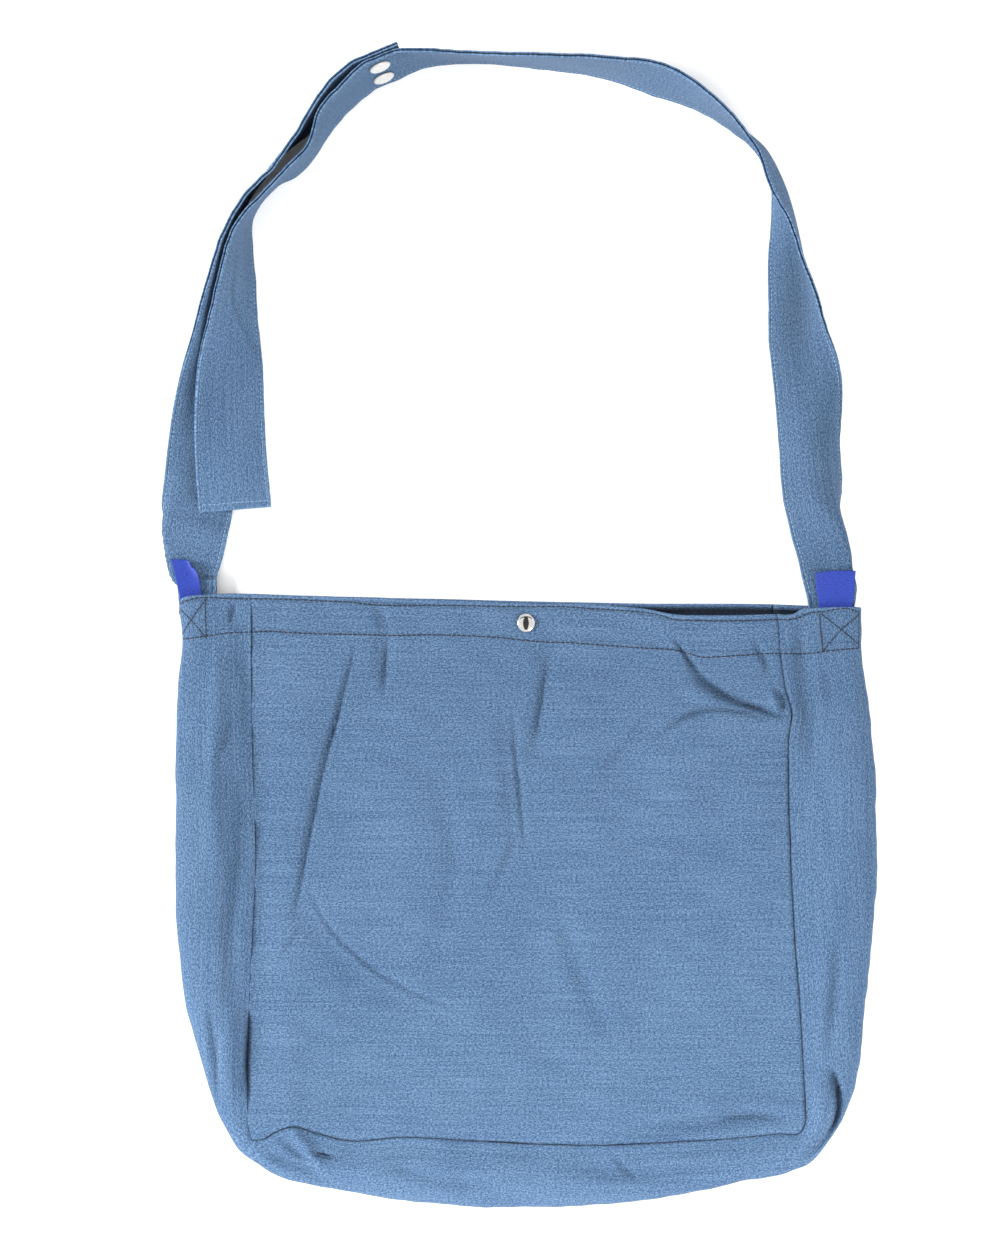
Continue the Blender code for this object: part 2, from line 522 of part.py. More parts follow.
def band_line(rows, inside):
    """A strap's middle line: its rows in metres, with a straight end inside the hem if asked."""
    placed = [
        dict(row, x=row["x"] * STRAP_REACH, y=MOUTH_Y + row["y"] * STRAP_RISE, lift=row["lift"] * LIE_HEIGHT)
        for row in rows
    ]
    first = placed[0]
    return [dict(first, y=first["y"] - inside)] + placed


def band_stations(placed):
    """A strap's stations: every row of its table, and others between rows that lie far apart."""
    keys = lengths([Vector((row["x"], row["y"])) for row in placed])
    stations = [placed[0]]
    for near, far in zip(keys, keys[1:]):
        count = math.ceil((far - near) / STRAP_STEP)
        stations += [smooth(placed, keys, near + (far - near) * k / count) for k in range(1, count + 1)]
    walked = lengths([Vector((row["x"], row["y"])) for row in stations])
    return stations, walked


def straighten(stations, walked, at):
    """Holds a strap straight and flat where its snaps are."""
    inside = [k for k in range(len(walked)) if abs(walked[k] - at) <= SNAP_FLAT + FIT_GAP]
    first, last = inside[0], inside[-1]
    a, b = stations[first], stations[last]
    for k in inside:
        share = (walked[k] - walked[first]) / (walked[last] - walked[first])
        row = dict(stations[k], x=blend(a["x"], b["x"], share), y=blend(a["y"], b["y"], share))
        lift = blend(a["lift"], b["lift"], share)
        stations[k] = dict(row, roll=(a["roll"] + b["roll"]) / 2, fold=0, lift=lift)


def band_profile(row, thick):
    """A section of the strap as (outwards, up) points of its two faces, inner edge first."""
    turn = math.radians(row["fold"])
    start = math.radians(row["roll"]) - turn / 2
    bend = row["round"] * STRAP_WIDTH
    low = row["crease"] * STRAP_WIDTH - bend / 2
    stops = [0.0] + [low + bend * k / 4 for k in range(5)] + [STRAP_WIDTH]

    def angle(w):
        return start + turn * min(max((w - low) / bend, 0.0), 1.0)

    spine = [Vector((0.0, 0.0))]
    for a, b in zip(stops, stops[1:]):
        heading = angle((a + b) / 2)
        spine.append(spine[-1] + (b - a) * Vector((math.cos(heading), math.sin(heading))))
    middle = next(k for k, w in enumerate(stops) if w >= STRAP_WIDTH / 2)
    share = (STRAP_WIDTH / 2 - stops[middle - 1]) / (stops[middle] - stops[middle - 1])
    centre = spine[middle - 1].lerp(spine[middle], share)
    faces = []
    for side in (0.5, -0.5):
        face = []
        for w, point in zip(stops, spine):
            heading = angle(w)
            face.append(point + side * thick * Vector((-math.sin(heading), math.cos(heading))))
        faces.append(face)
    lowest = min(point.y for face in faces for point in face)
    shift = Vector((-centre.x, max(row["lift"], 0.0) - lowest))
    return [[point + shift for point in face] for face in faces], centre + shift


def band_frame(stations, k, turn):
    before, after = stations[max(k - 1, 0)], stations[min(k + 1, len(stations) - 1)]
    along = Vector((after["x"] - before["x"], after["y"] - before["y"])).normalized()
    return along, turn * Vector((along.y, -along.x))


def band(name, stations, turn, home):
    """A strap band lofted along its middle line. turn is 1 where its outer side is on the right."""
    faces = [[], []]
    for k, row in enumerate(stations):
        out = band_frame(stations, k, turn)[1]
        profile = band_profile(row, STRAP_THICK)[0]
        for face, points in zip(faces, profile):
            face.append([Vector((row["x"] + out.x * p.x, row["y"] + out.y * p.x, p.y)) for p in points])
    return shell(name, faces[0], faces[1], DENIM, home)


def band_place(stations, walked, distance, turn):
    """The middle of a band at a distance along it, with its directions along, across and out."""
    k = min(range(len(walked)), key=lambda i: abs(walked[i] - distance))
    row = stations[k]
    along, out = band_frame(stations, k, turn)
    roll = math.radians(row["roll"])
    centre = band_profile(row, STRAP_THICK)[1]
    across = Vector((out.x * math.cos(roll), out.y * math.cos(roll), math.sin(roll)))
    face = Vector((-out.x * math.sin(roll), -out.y * math.sin(roll), math.cos(roll)))
    place = Vector((row["x"], row["y"], centre.y))
    return place, along.to_3d(), across, face


def short_band_end(long_stations, long_walked, snap_at):
    """The short band's last rows: it lies behind the long one, a snap's core away from it."""
    place, along, _, face = band_place(long_stations, long_walked, snap_at, 1)
    k = min(range(len(long_walked)), key=lambda i: abs(long_walked[i] - snap_at))
    roll = math.radians(long_stations[k]["roll"])
    rows = []
    for past in (SNAP_FLAT, 0.0, -STRAP_END_PAST_SNAP):
        behind = place + past * along - (STRAP_THICK + SOCKET_HEIGHT) * face
        low = behind.z - STRAP_WIDTH / 2 * math.sin(roll) - STRAP_THICK / 2 * math.cos(roll)
        rows.append(dict(long_stations[k], x=behind.x, y=behind.y, lift=low))
    return rows


def turned_snap(name, cap, stack, home, look):
    """A snap as one turned piece along Z: a domed cap, a post, a core and a back flange.
    stack is the two cloth thicknesses that the post passes; the second is 0 on a single wall."""
    half, post, core = cap / 2, POST_WIDTH / 2, SOCKET_WIDTH / 2
    near = stack[0] / 2 + FIT_GAP / 2
    outline = [(0.0, near + CAP_HEIGHT), (0.45 * half, near + 0.93 * CAP_HEIGHT)]
    outline += [(0.80 * half, near + 0.66 * CAP_HEIGHT), (half, near + 0.20 * CAP_HEIGHT)]
    outline += [(0.96 * half, near), (post, near), (post, -near), (core, -near)]
    if stack[1]:
        deep = near + SOCKET_HEIGHT - FIT_GAP
        far = deep + stack[1] + FIT_GAP
        outline += [(core, -deep), (post, -deep), (post, -far), (core, -far)]
        outline += [(0.9 * core, -far - CAP_HEIGHT / 2), (0.0, -far - CAP_HEIGHT / 2)]
    else:
        outline += [(core, -near - 0.7 * STUD_HEIGHT), (0.6 * core, -near - 0.7 * STUD_HEIGHT)]
        outline += [(0.45 * core, -near - STUD_HEIGHT), (0.0, -near - STUD_HEIGHT)]
    mesh = bpy.data.meshes.new(name)
    edges = [(k, k + 1) for k in range(len(outline) - 1)]
    mesh.from_pydata([(x, 0.0, z) for x, z in outline], edges, [])
    made = bpy.data.objects.new(name, mesh)
    home.objects.link(made)
    made.data.materials.append(material(look))
    screw = made.modifiers.new("turn", "SCREW")
    screw.steps = screw.render_steps = SNAP_SIDES
    screw.use_merge_vertices = True
    screw.merge_threshold = 0.00001
    screw.use_smooth_shade = True
    return made


def wall_at(cloth, x, y):
    """The middle of a cloth wall over a place, and the direction its upper face looks."""
    points = [vertex.co for vertex in cloth.data.vertices]
    tree = BVHTree.FromPolygons(points, [face.vertices for face in cloth.data.polygons])
    down = Vector((0.0, 0.0, -1.0))
    top, normal, _, _ = tree.ray_cast(Vector((x, y, 1.0)), down)
    under = tree.ray_cast(top + 0.0001 * down, down)[0]
    return (top + under) / 2, normal


def set_on_axis(made, place, direction):
    made.location = place
    made.rotation_mode = "QUATERNION"
    made.rotation_quaternion = direction.to_track_quat("Z", "Y")


def pierce(cloth, place, direction, cutters):
    """Cuts a snap's hole through one layer of cloth."""
    bpy.ops.mesh.primitive_cylinder_add(
        vertices=SNAP_SIDES, radius=POST_WIDTH / 2 + POST_CLEARANCE, depth=0.008, location=place
    )
    cutter = bpy.context.object
    cutter.name = "hole_cutter"
    cutter.rotation_mode = "QUATERNION"
    cutter.rotation_quaternion = direction.to_track_quat("Z", "Y")
    for owner in list(cutter.users_collection):
        owner.objects.unlink(cutter)
    cutters.objects.link(cutter)
    cutter.hide_render = True
    cutter.display_type = "WIRE"
    cut = cloth.modifiers.new("snap_hole", "BOOLEAN")
    cut.operation = "DIFFERENCE"
    cut.object = cutter


def top_of(cloth):
    """A function that gives the height of a cloth's upper face over a place, or None."""
    points = [vertex.co for vertex in cloth.data.vertices]
    tree = BVHTree.FromPolygons(points, [face.vertices for face in cloth.data.polygons])

    def height(x, y):
        hit = tree.ray_cast(Vector((x, y, 1.0)), Vector((0.0, 0.0, -1.0)))[0]
        return hit.z if hit else None

    return height


def tag(row, strap, home):
    """A folded woven tag that stands out of the hem and lies on the strap's foot."""
    height = top_of(strap)
    x = row["x"] * HALF_WIDTH
    edge = MOUTH_Y + mouth_shift(x, MOUTH_Y, "front")
    outer, inner = [], []
    for i in range(7):
        length = -TAG_IN_HEM + i / 6 * (TAG_HEIGHT + TAG_IN_HEM)
        out = max(length, 0.0) / TAG_HEIGHT
        wide = TAG_WIDTH * blend(row["foot"], row["head"], out)
        middle = x + row["lean"] * out * TAG_HEIGHT
        shares = [j / 5 - 0.5 for j in range(6)]
        places = [Vector((middle + share * wide, edge + length)) for share in shares]
        under = [height(place.x, place.y) or 0.0 for place in places]
        a, b = [], []
        for share, place, own in zip(shares, places, under):
            z = blend(own, max(under), TAG_STIFF) + TAG_CLEARANCE
            z += row["curl"] * TAG_HEIGHT * (out * max(share * row["side"], 0.0)) ** 2
            a.append(Vector((place.x, place.y, z + TAG_THICK)))
            b.append(Vector((place.x, place.y, z)))
        outer.append(a)
        inner.append(b)
    return shell(row["name"], outer, inner, TAG_WEAVE, home)


def build():
    for old in list(bpy.data.objects):
        bpy.data.objects.remove(old)
    home, cutters = collection("denim_shoulder_tote"), collection("cutters")

    rows = hoop_stations()
    front = [seam_point(row) for row in rows]
    back = [BACK_INSET * point for point in front]
    for point in (back[0], back[-1]):
        point.y = MOUTH_Y
    side_and_base(rows, front, back, home)
    front_cloth = front_panel(rows, front, home)
    back_cloth = back_panel(rows, back, home)

    long_stations, long_walked = band_stations(band_line(LONG_BAND, STRAP_IN_HEM))
    snap_at = long_walked[-1] - STRAP_SNAP_FROM_TAIL
    straighten(long_stations, long_walked, snap_at)
    short_rows = band_line(SHORT_BAND, STRAP_IN_HEM)
    short_rows += short_band_end(long_stations, long_walked, snap_at)
    short_stations, short_walked = band_stations(short_rows)
    straighten(short_stations, short_walked, short_walked[-1] - STRAP_END_PAST_SNAP)
    long_cloth = band("strap_long_band", long_stations, 1, home)
    short_cloth = band("strap_short_band", short_stations, -1, home)

    place, _, across, face = band_place(long_stations, long_walked, snap_at, 1)
    for side, label in ((0.5, "upper"), (-0.5, "lower")):
        centre = place + side * SNAP_SPACING * across
        snap = turned_snap(f"strap_snap_{label}", STRAP_CAP, (STRAP_THICK, STRAP_THICK), home, ENAMEL)
        set_on_axis(snap, centre, face)
        pierce(long_cloth, centre, face, cutters)
        pierce(short_cloth, centre - (STRAP_THICK + SOCKET_HEIGHT) * face, face, cutters)

    for label, cloth in (("front", front_cloth), ("back", back_cloth)):
        y = MOUTH_Y + mouth_shift(0.0, MOUTH_Y, label) - HEM_DEPTH * SNAP_FROM_EDGE
        middle, direction = wall_at(cloth, 0.0, y)
        if label == "back":
            direction = -direction
        snap = turned_snap(f"closure_snap_{label}", CLOSURE_CAP, (HEM_CLOTH, 0.0), home, NICKEL)
        set_on_axis(snap, middle, direction)
        pierce(cloth, middle, direction, cutters)

    tag(TAGS[0], short_cloth, home)
    tag(TAGS[1], long_cloth, home)


build()
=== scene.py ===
"""A denim shoulder tote lying flat, with its strap laid out above it."""

import math

import bpy
import numpy as np
from mathutils import Matrix, Vector
from mathutils.bvhtree import BVHTree
from mathutils.kdtree import KDTree


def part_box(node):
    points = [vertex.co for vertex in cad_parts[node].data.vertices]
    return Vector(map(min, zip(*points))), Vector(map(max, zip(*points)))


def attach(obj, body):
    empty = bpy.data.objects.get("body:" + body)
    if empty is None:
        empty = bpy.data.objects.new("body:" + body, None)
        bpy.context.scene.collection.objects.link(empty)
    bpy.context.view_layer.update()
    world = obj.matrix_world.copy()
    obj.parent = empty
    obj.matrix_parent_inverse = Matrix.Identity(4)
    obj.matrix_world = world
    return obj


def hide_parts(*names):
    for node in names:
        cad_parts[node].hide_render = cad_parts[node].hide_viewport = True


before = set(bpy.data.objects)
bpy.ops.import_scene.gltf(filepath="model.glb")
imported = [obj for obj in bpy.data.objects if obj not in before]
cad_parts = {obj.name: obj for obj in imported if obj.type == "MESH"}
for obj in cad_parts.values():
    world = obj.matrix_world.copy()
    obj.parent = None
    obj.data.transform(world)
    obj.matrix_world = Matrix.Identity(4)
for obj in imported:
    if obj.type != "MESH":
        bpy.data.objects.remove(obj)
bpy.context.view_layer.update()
bpy.ops.object.select_all(action="DESELECT")


# The sides and the base are one long strip of mid-weight denim, sewn to the front and the back
# panel inside out and turned. On the table it folds outwards all round, and it has a hem turned
# in at both ends. The cloth is a light blue chambray denim, washed, with slubs along its weft.
HALF_WIDTH, HALF_HEIGHT, HALF_GUSSET = 0.185, 0.1835, 0.055
LIE, CLOTH, HEM_CLOTH, HEM_DEPTH = 0.016, 0.0012, 0.0024, 0.026
SEAM_GAP, SEAM_DIP, BACK_INSET = 0.00012, 0.0013, 0.985
HEM_ROWS, OFF_TABLE = (0.0034, 0.0246), 0.00005
SIDE_CELLS, BASE_CELLS, ROUND_CELLS = 250, 250, 50
# Its stations, from the left end of the mouth round to the right end: where the front seam runs,
# the way out from it to the fold, how high the crest and the seam lie, and how soft the fold is.
# seam_x, seam_y, out_x, out_y, crest, seam, soft
HOOP = np.array([
    (-1.022, 1, -.9, 0, .79, .77, .13), (-1.022, .855, -.87, 0, .8, .78, .15),
    (-1.022, .7, -.91, 0, .88, .8, .3), (-1.017, .4, -.96, 0, 1, .76, .42),
    (-1.007, .06, -1, 0, 1.04, .72, .45), (-1.019, -.27, -.93, 0, 1.06, .76, .45),
    (-1.03, -.5, -.79, 0, 1.08, .82, .45), (-1.035, -.72, -.58, -.02, 1.1, .9, .52),
    (-1.034, -.88, -.41, -.03, 1.06, .98, .62), (-1.03, -.97, -.27, -.05, 1.02, 1, .8),
    (-1.015, -1.012, -.16, -.16, 1.02, 1, .85), (-.975, -1.01, -.06, -.33, 1.08, 1.02, .7),
    (-.93, -.985, -.04, -.52, 1.16, 1.06, .55), (-.865, -.963, -.03, -.68, 1.22, 1.1, .45),
    (-.775, -.988, .03, -.67, 1.22, .96, .45), (-.675, -1.014, .05, -.66, 1.2, .9, .45),
    (-.45, -1.004, .05, -.8, 1.2, .88, .42), (-.21, -1.016, .02, -.83, 1.22, .84, .42),
    (.05, -1.03, 0, -.8, 1.22, .82, .42), (.3, -1.034, 0, -.74, 1.2, .84, .42),
    (.54, -1.022, .04, -.67, 1.18, .86, .45), (.77, -1.008, .08, -.55, 1.16, .9, .5),
    (.94, -.99, .13, -.48, 1.16, .98, .55), (1.02, -.984, .2, -.32, 1.12, 1.02, .65),
    (1.037, -.95, .36, -.15, 1.14, 1.02, .6), (1.036, -.88, .54, -.06, 1.18, .98, .52),
    (1.03, -.74, .69, -.03, 1.16, .9, .48), (1.019, -.53, .82, 0, 1.12, .82, .45),
    (1, -.27, .95, 0, 1.08, .76, .42), (.985, .02, 1.08, 0, 1.04, .74, .42),
    (.976, .31, 1.09, 0, 1.02, .76, .4), (.979, .515, 1.03, 0, .98, .82, .36),
    (.989, .583, .98, 0, .94, .84, .32), (.966, .68, 1.01, 0, .88, .82, .28),
    (.945, .855, 1.03, 0, .8, .8, .14), (.932, 1, 1.06, 0, .79, .82, .12),
])
LEFT_CORNER, RIGHT_CORNER = 10, 23
# The mouth from left to right: how far each hem's edge dips below its line, and its height.
# x, front, back, height
MOUTH = np.array([
    (-1.3, -.05, -.05, .76), (-1.265, -.14, -.1, .76), (-1.18, -.2, -.13, .76), (-.83, -.17, -.13, .7),
    (-.3, -.05, -.08, .68), (-.045, .03, -.03, .68), (.305, .09, .02, .69), (.46, .2, .04, .72),
    (.535, .31, .04, .78), (.66, .35, .04, .82), (.93, .32, .06, .82), (1.0, .3, .08, .78),
    (1.028, .175, .09, .77), (1.06, .16, .1, .76), (1.2, .13, .12, .76), (1.26, .14, .14, .76),
])
# Creases and dents of the upper cloth: half width and height in mm, how far the second flank
# stands up, and the points each one runs through, in mm.
CREASES = [
    (2.0, -1.0, 0.3, (-117, 153), (-119, 144), (-123.5, 129), (-127.5, 115), (-132, 98), (-138, 80)),
    (2.0, -1.2, 0.5, (-128, 112), (-138, 78), (-143, 57), (-147, 36), (-151, 16), (-155, -8), (-159, -30)),
    (8.0, -0.5, 0.1, (-126, 110), (-142, 50), (-160, -40)),
    (4.5, -0.8, 0.3, (-103, 180), (-99, 168), (-96, 158)),
    (2.0, -1.1, 0.6, (-96, 158), (-96, 150), (-97, 140), (-98, 122)),
    (5.0, -0.8, 0.3, (-101, 162), (-100, 140), (-100, 126)),
    (2.0, -1.0, 0.3, (15, 144), (12, 128), (9, 110), (6, 88)),
    (7.0, -0.8, 0.1, (17, 160), (12, 120), (4, 70)),
    (1.9, -1.0, 0.4, (-10, 108), (-8, 84), (-5, 55), (-1, 14)),
    (6.0, -0.7, 0.1, (-16, 110), (-12, 60), (-8, 10)),
    (2.6, -0.6, 0.2, (-7, 22), (-16, 0), (-26, -20)),
    (1.9, -0.9, 0.4, (-149, -15), (-140, -33), (-131, -46), (-118, -58), (-104, -70), (-78, -85), (-50, -95)),
    (9.0, -1.0, 0.1, (-160, -20), (-130, -60), (-80, -95)),
    (1.9, -0.6, 0.2, (-154, -40), (-161, -50), (-169, -59)),
    (1.6, -1.3, 0.7, (102, 166), (107, 159), (112, 150), (116, 143)),
    (3.0, -1.9, -0.4, (113, 150), (121, 137), (134, 125), (146, 118), (158, 113), (168, 111)),
    (7.0, 1.5, 0.0, (108, 136), (122, 122), (140, 112)),
    (2.6, -1.0, 0.3, (156, 166), (161, 157), (165, 147), (165, 138)),
    (2.2, -1.2, 0.4, (92, 92), (106, 103), (120, 110), (136, 111), (150, 109), (166, 104)),
    (2.0, -1.3, 0.4, (148, 116), (160, 112), (170, 107), (180, 106)),
    (2.4, 1.5, 0.0, (168, 126), (171, 117), (173, 108)),
    (1.8, -1.2, 0.3, (173, 125), (176, 116), (176, 110)),
    (4.0, -0.7, 0.2, (50, 62), (66, 80), (86, 106)),
    (9.0, 1.2, 0.0, (60, 100), (90, 118), (120, 128)),
    (7.0, -0.9, 0.1, (20, -20), (36, -70), (60, -120)),
    (8.0, -0.8, 0.1, (-60, 60), (-50, 0), (-66, -60)),
    (6.0, -1.5, 0.1, (66, -186), (105, -178), (135, -172), (168, -171), (188, -173)),
    (5.0, 1.2, 0.0, (120, -165), (150, -162), (188, -162)),
    (1.6, -0.9, 0.3, (132, -173), (152, -170), (176, -171)),
    (10.0, -1.6, 0.0, (-183, 150), (-183, 120), (-184, 60), (-183, -10), (-186, -90), (-186, -150)),
    (1.7, -1.3, 0.3, (-201.5, 177), (-202.3, 170), (-203.5, 163)),
    (6.0, -1.2, 0.1, (-196, 168), (-194, 140), (-191, 118), (-192, 90)),
    (2.4, -0.7, 0.3, (-203, 104), (-208, 88), (-214, 70)),
    (6.0, 1.6, 0.0, (-213, 150), (-211, 110), (-216, 60), (-213, 10)),
    (5.0, -1.4, 0.2, (-196, 60), (-199, 10), (-204, -50), (-203, -90)),
    (2.2, -1.4, 0.3, (-218, -92), (-216, -110), (-213.5, -132), (-213, -150), (-212, -164)),
    (1.7, -2.2, 0.2, (-190.5, -98), (-191.6, -118), (-192, -140), (-190.5, -158)),
    (6.0, 1.8, 0.0, (-203, -100), (-203, -130), (-202, -156)),
    (3.6, 1.5, 0.0, (-162, -178), (-152, -188), (-140, -204)),
    (3.6, -1.5, 0.3, (-181, -192), (-168, -200), (-150, -207), (-134, -216)),
    (2.8, -1.1, 0.3, (-170, -184), (-160, -192), (-150, -202)),
    (2.0, -1.4, 0.2, (-150, -192), (-140, -196), (-128, -197)),
    (6.5, -2.0, -0.2, (190, 182), (190, 150), (192, 130), (195, 100), (196, 70)),
    (3.0, 0.7, 0.0, (198, 172), (199, 150), (202, 120), (204, 92)),
    (4.0, -1.7, 0.2, (213, -50), (212, -80), (207, -126)),
    (2.6, -3.4, 0.3, (208, -138), (212, -148), (214, -160), (213, -172), (206, -185), (194, -195)),
    (1.5, -2.2, 0.4, (210, -136), (213.5, -148), (214.5, -160), (212, -173), (205, -184)),
    (6.0, 2.0, 0.0, (202, -146), (203, -166), (196, -182)),
    (6.0, -1.4, 0.2, (40, -206), (80, -210), (130, -205)),
    (5.0, -1.3, 0.2, (-90, -205), (-60, -214), (-20, -218)),
    (2.6, -1.0, 0.2, (60, -196), (66, -204), (76, -212)),
]


def curve_through(rows, keys, at):
    """Every column of a table of rows, read at places along it on one smooth curve."""
    rows, keys, at = np.asarray(rows, float), np.asarray(keys, float), np.asarray(at, float)
    gap = np.diff(keys)
    rise = np.diff(rows, axis=0) / gap[:, None]
    slope = np.vstack([rise[:1], rise[:1], rise[1:]])
    slope[1:-1] = (rise[:-1] * gap[1:, None] + rise[1:] * gap[:-1, None]) / (gap[1:] + gap[:-1])[:, None]
    i = np.clip(np.searchsorted(keys, at, side="right") - 1, 0, len(gap) - 1)
    step = gap[i][:, None]
    s = ((at - keys[i]) / gap[i])[:, None]
    return (
        rows[i] * (2 * s**3 - 3 * s**2 + 1)
        + rows[i + 1] * (3 * s**2 - 2 * s**3)
        + step * slope[i] * (s**3 - 2 * s**2 + s)
        + step * slope[i + 1] * (s**3 - s**2)
    )


def run_along(points):
    """The distance along a line of points, at each point."""
    return np.concatenate([[0.0], np.cumsum(np.linalg.norm(np.diff(points, axis=0), axis=1))])


def unit(vectors):
    """Vectors made one long."""
    return vectors / np.maximum(np.linalg.norm(vectors, axis=-1, keepdims=True), 1e-12)


def blend(a, b, share):
    """From one value to another by a share."""
    return a * (1 - share) + b * share


def ease(value, low, high):
    """A smooth step from 0 to 1 between two values."""
    share = np.clip((value - low) / (high - low), 0.0, 1.0)
    return share * share * (3 - 2 * share)


def drift(x, y, wave, seed):
    """Soft unevenness of lying cloth, about 1 high, in waves of about that length."""
    choice = np.random.default_rng(seed)
    total = np.zeros_like(x)
    for _ in range(10):
        turn, phase = choice.uniform(0, 2 * math.pi, 2)
        reach = 2 * math.pi / (wave * choice.uniform(0.7, 1.7))
        total = total + np.sin(reach * (x * math.cos(turn) + y * math.sin(turn)) + phase)
    return total / 4


def creased(x, y):
    """How far the creases and dents raise or lower the upper cloth, and how deep in one a place is, as the
    painted shade laid in it.
    """
    total, shade = np.zeros_like(x), np.zeros_like(x)
    for wide, high, flank, *points in CREASES:
        points = np.array(points) / 1000
        keys = run_along(points)
        count = max(2, int(keys[-1] / 0.006)) + 1
        line = curve_through(points, keys, np.linspace(0, keys[-1], count))
        keys = run_along(line)
        near = np.full(x.shape, 9.0)
        signed, share = np.zeros_like(x), np.zeros_like(x)
        for (ax, ay), (bx, by), key in zip(line, line[1:], keys):
            dx, dy = bx - ax, by - ay
            length = math.hypot(dx, dy)
            along = np.clip(((x - ax) * dx + (y - ay) * dy) / length**2, 0, 1)
            ox, oy = x - ax - along * dx, y - ay - along * dy
            away = np.hypot(ox, oy)
            closer = away < near
            near = np.where(closer, away, near)
            signed = np.where(closer, np.sign(dx * oy - dy * ox) * away, signed)
            share = np.where(closer, (key + along * length) / keys[-1], share)
        size = 1000 / wide
        taper = np.sqrt(np.clip(np.sin(math.pi * np.clip(share, 0.02, 0.98)), 0, 1))
        bell = np.exp(-((near * size) ** 2))
        total += 2.0 * high / 1000 * taper * (bell + flank * signed * size * bell)
        shade += max(-high, 0) / wide * taper * bell
    return total, np.minimum(shade, 1.2)


def mouth_shift(x, y, side):
    """How far the uneven edge of a hem moves the cloth at a place, fading out below the hem."""
    at = np.clip(x / HALF_WIDTH, MOUTH[0, 0], MOUTH[-1, 0])
    column = 1 if side == "front" else 2
    low = curve_through(MOUTH, MOUTH[:, 0], at.ravel())[:, column].reshape(at.shape)
    below = (HALF_HEIGHT - HEM_DEPTH - y) / (3 * HEM_DEPTH)
    return -low * HEM_DEPTH * np.clip(1 - np.maximum(below, 0), 0, 1) ** 2


def inward(line):
    """The way from a seam to the middle of the panel, longer where the seam turns."""
    step = unit(np.diff(line, axis=0))
    before, after = np.vstack([step[:1], step]), np.vstack([step, step[-1:]])
    middle = unit(before + after)
    along = middle / (middle * after).sum(1)[:, None]
    return np.stack([-along[:, 1], along[:, 0]], 1)


def hem_relief(down):
    """The hem's own relief against the distance from its edge: two grooves and the inner fold."""
    fold = 0.00030 * (1 - ease(down, HEM_DEPTH - 0.0006, HEM_DEPTH + 0.0012))
    first, second = (np.exp(-(((down - row) / 0.0009) ** 2)) for row in HEM_ROWS)
    rows = first + 0.8 * second
    return fold - 0.00032 * rows


def wall(outer, thick, faces_up):
    """The inner grid of a cloth wall, a thickness behind the outer one."""
    normal = unit(np.cross(np.gradient(outer, axis=0), np.gradient(outer, axis=1)))
    if normal[faces_up][2] <= 0:
        normal = -normal
    return outer - normal * thick[..., None], normal


def cloth_thickness(down):
    """The hem is twice as thick as the cloth below it."""
    return blend(CLOTH, HEM_CLOTH, 1 - ease(down, HEM_DEPTH, HEM_DEPTH + 0.0015))


def rounded(distance, thick):
    """How far a turned edge of cloth falls back near its rim, for a wall of that thickness."""
    radius = thick / 2
    share = np.clip(1 - distance / radius, 0, 1)
    return radius * (1 - np.sqrt(np.clip(1 - share**2, 0.0, 1)))


def placed_object(name, mesh, look):
    """A finished mesh as an object of the scene, smooth and in its material."""
    mesh.shade_smooth()
    mesh.materials.append(look)
    made = bpy.data.objects.new(name, mesh)
    bpy.context.scene.collection.objects.link(made)
    return made


def cloth_piece(name, outer, inner, cut, tone, look, thin=1, inner_tone=None):
    """A closed sheet of cloth between two grids. cut is each point's place on the flat cut, and
    thin how many cells of the outer grid meet one of the inner grid."""
    inner, places = inner[::thin, ::thin], [cut.reshape(-1, 2), cut[::thin, ::thin].reshape(-1, 2)]
    ids = [np.arange(g.shape[0] * g.shape[1]).reshape(g.shape[:2]) for g in (outer, inner)]
    ids[1] += ids[0].size
    faces, rims = [], []
    for grid, flip in zip(ids, (1, -1)):
        a, b, c, d = grid[:-1, :-1], grid[:-1, 1:], grid[1:, 1:], grid[1:, :-1]
        faces.append(np.stack([a, b, c, d], -1).reshape(-1, 4)[:, ::flip])
        rims.append(np.concatenate([grid[0], grid[1:, -1], grid[-1, -2::-1], grid[-2:0:-1, 0]]))
    rim, under = rims
    after, under_after = np.roll(rim, -thin)[::thin], np.roll(under, -1)
    between = [np.roll(rim, -k)[::thin] for k in range(thin - 1, 0, -1)]
    faces.append(np.stack([rim[::thin], under, under_after, after, *between], -1))
    points = np.vstack([outer.reshape(-1, 3), inner.reshape(-1, 3)])
    p = points[np.vstack(faces[:2])]
    if np.einsum("ij,ij->", p[:, 0], np.cross(p[:, 1], p[:, 2]) + np.cross(p[:, 2], p[:, 3])) < 0:
        faces = [f[:, ::-1] for f in faces]
    mesh = bpy.data.meshes.new(name)
    mesh.from_pydata(points.tolist(), [], [f for group in faces for f in group.tolist()])
    corners = np.concatenate([f.ravel() for f in faces])
    mesh.uv_layers.new(name="cut").data.foreach_set("uv", np.vstack(places)[corners].ravel())
    inner_tone = 0.5 * tone if inner_tone is None else inner_tone
    both = np.concatenate([tone.ravel(), inner_tone[::thin, ::thin].ravel()])
    mesh.attributes.new("tone", "FLOAT", "POINT").data.foreach_set("value", both)
    return placed_object(name, mesh, look)


def new_look(name, roughness, metallic=0.0):
    """A material, its shader, and a short way to add a node with its values and links."""
    look = bpy.data.materials.new(name)
    look.use_nodes = True
    tree = look.node_tree
    shader = tree.nodes["Principled BSDF"]
    shader.inputs["Roughness"].default_value = roughness
    shader.inputs["Metallic"].default_value = metallic

    def add(kind, links=None, **values):
        node = tree.nodes.new("ShaderNode" + kind)
        for key, value in values.items():
            if hasattr(node, key):
                setattr(node, key, value)
            else:
                node.inputs[key.replace("_", " ")].default_value = value
        for key, source in (links or {}).items():
            tree.links.new(source, node.inputs[key])
        return node

    return look, shader, add, tree.links


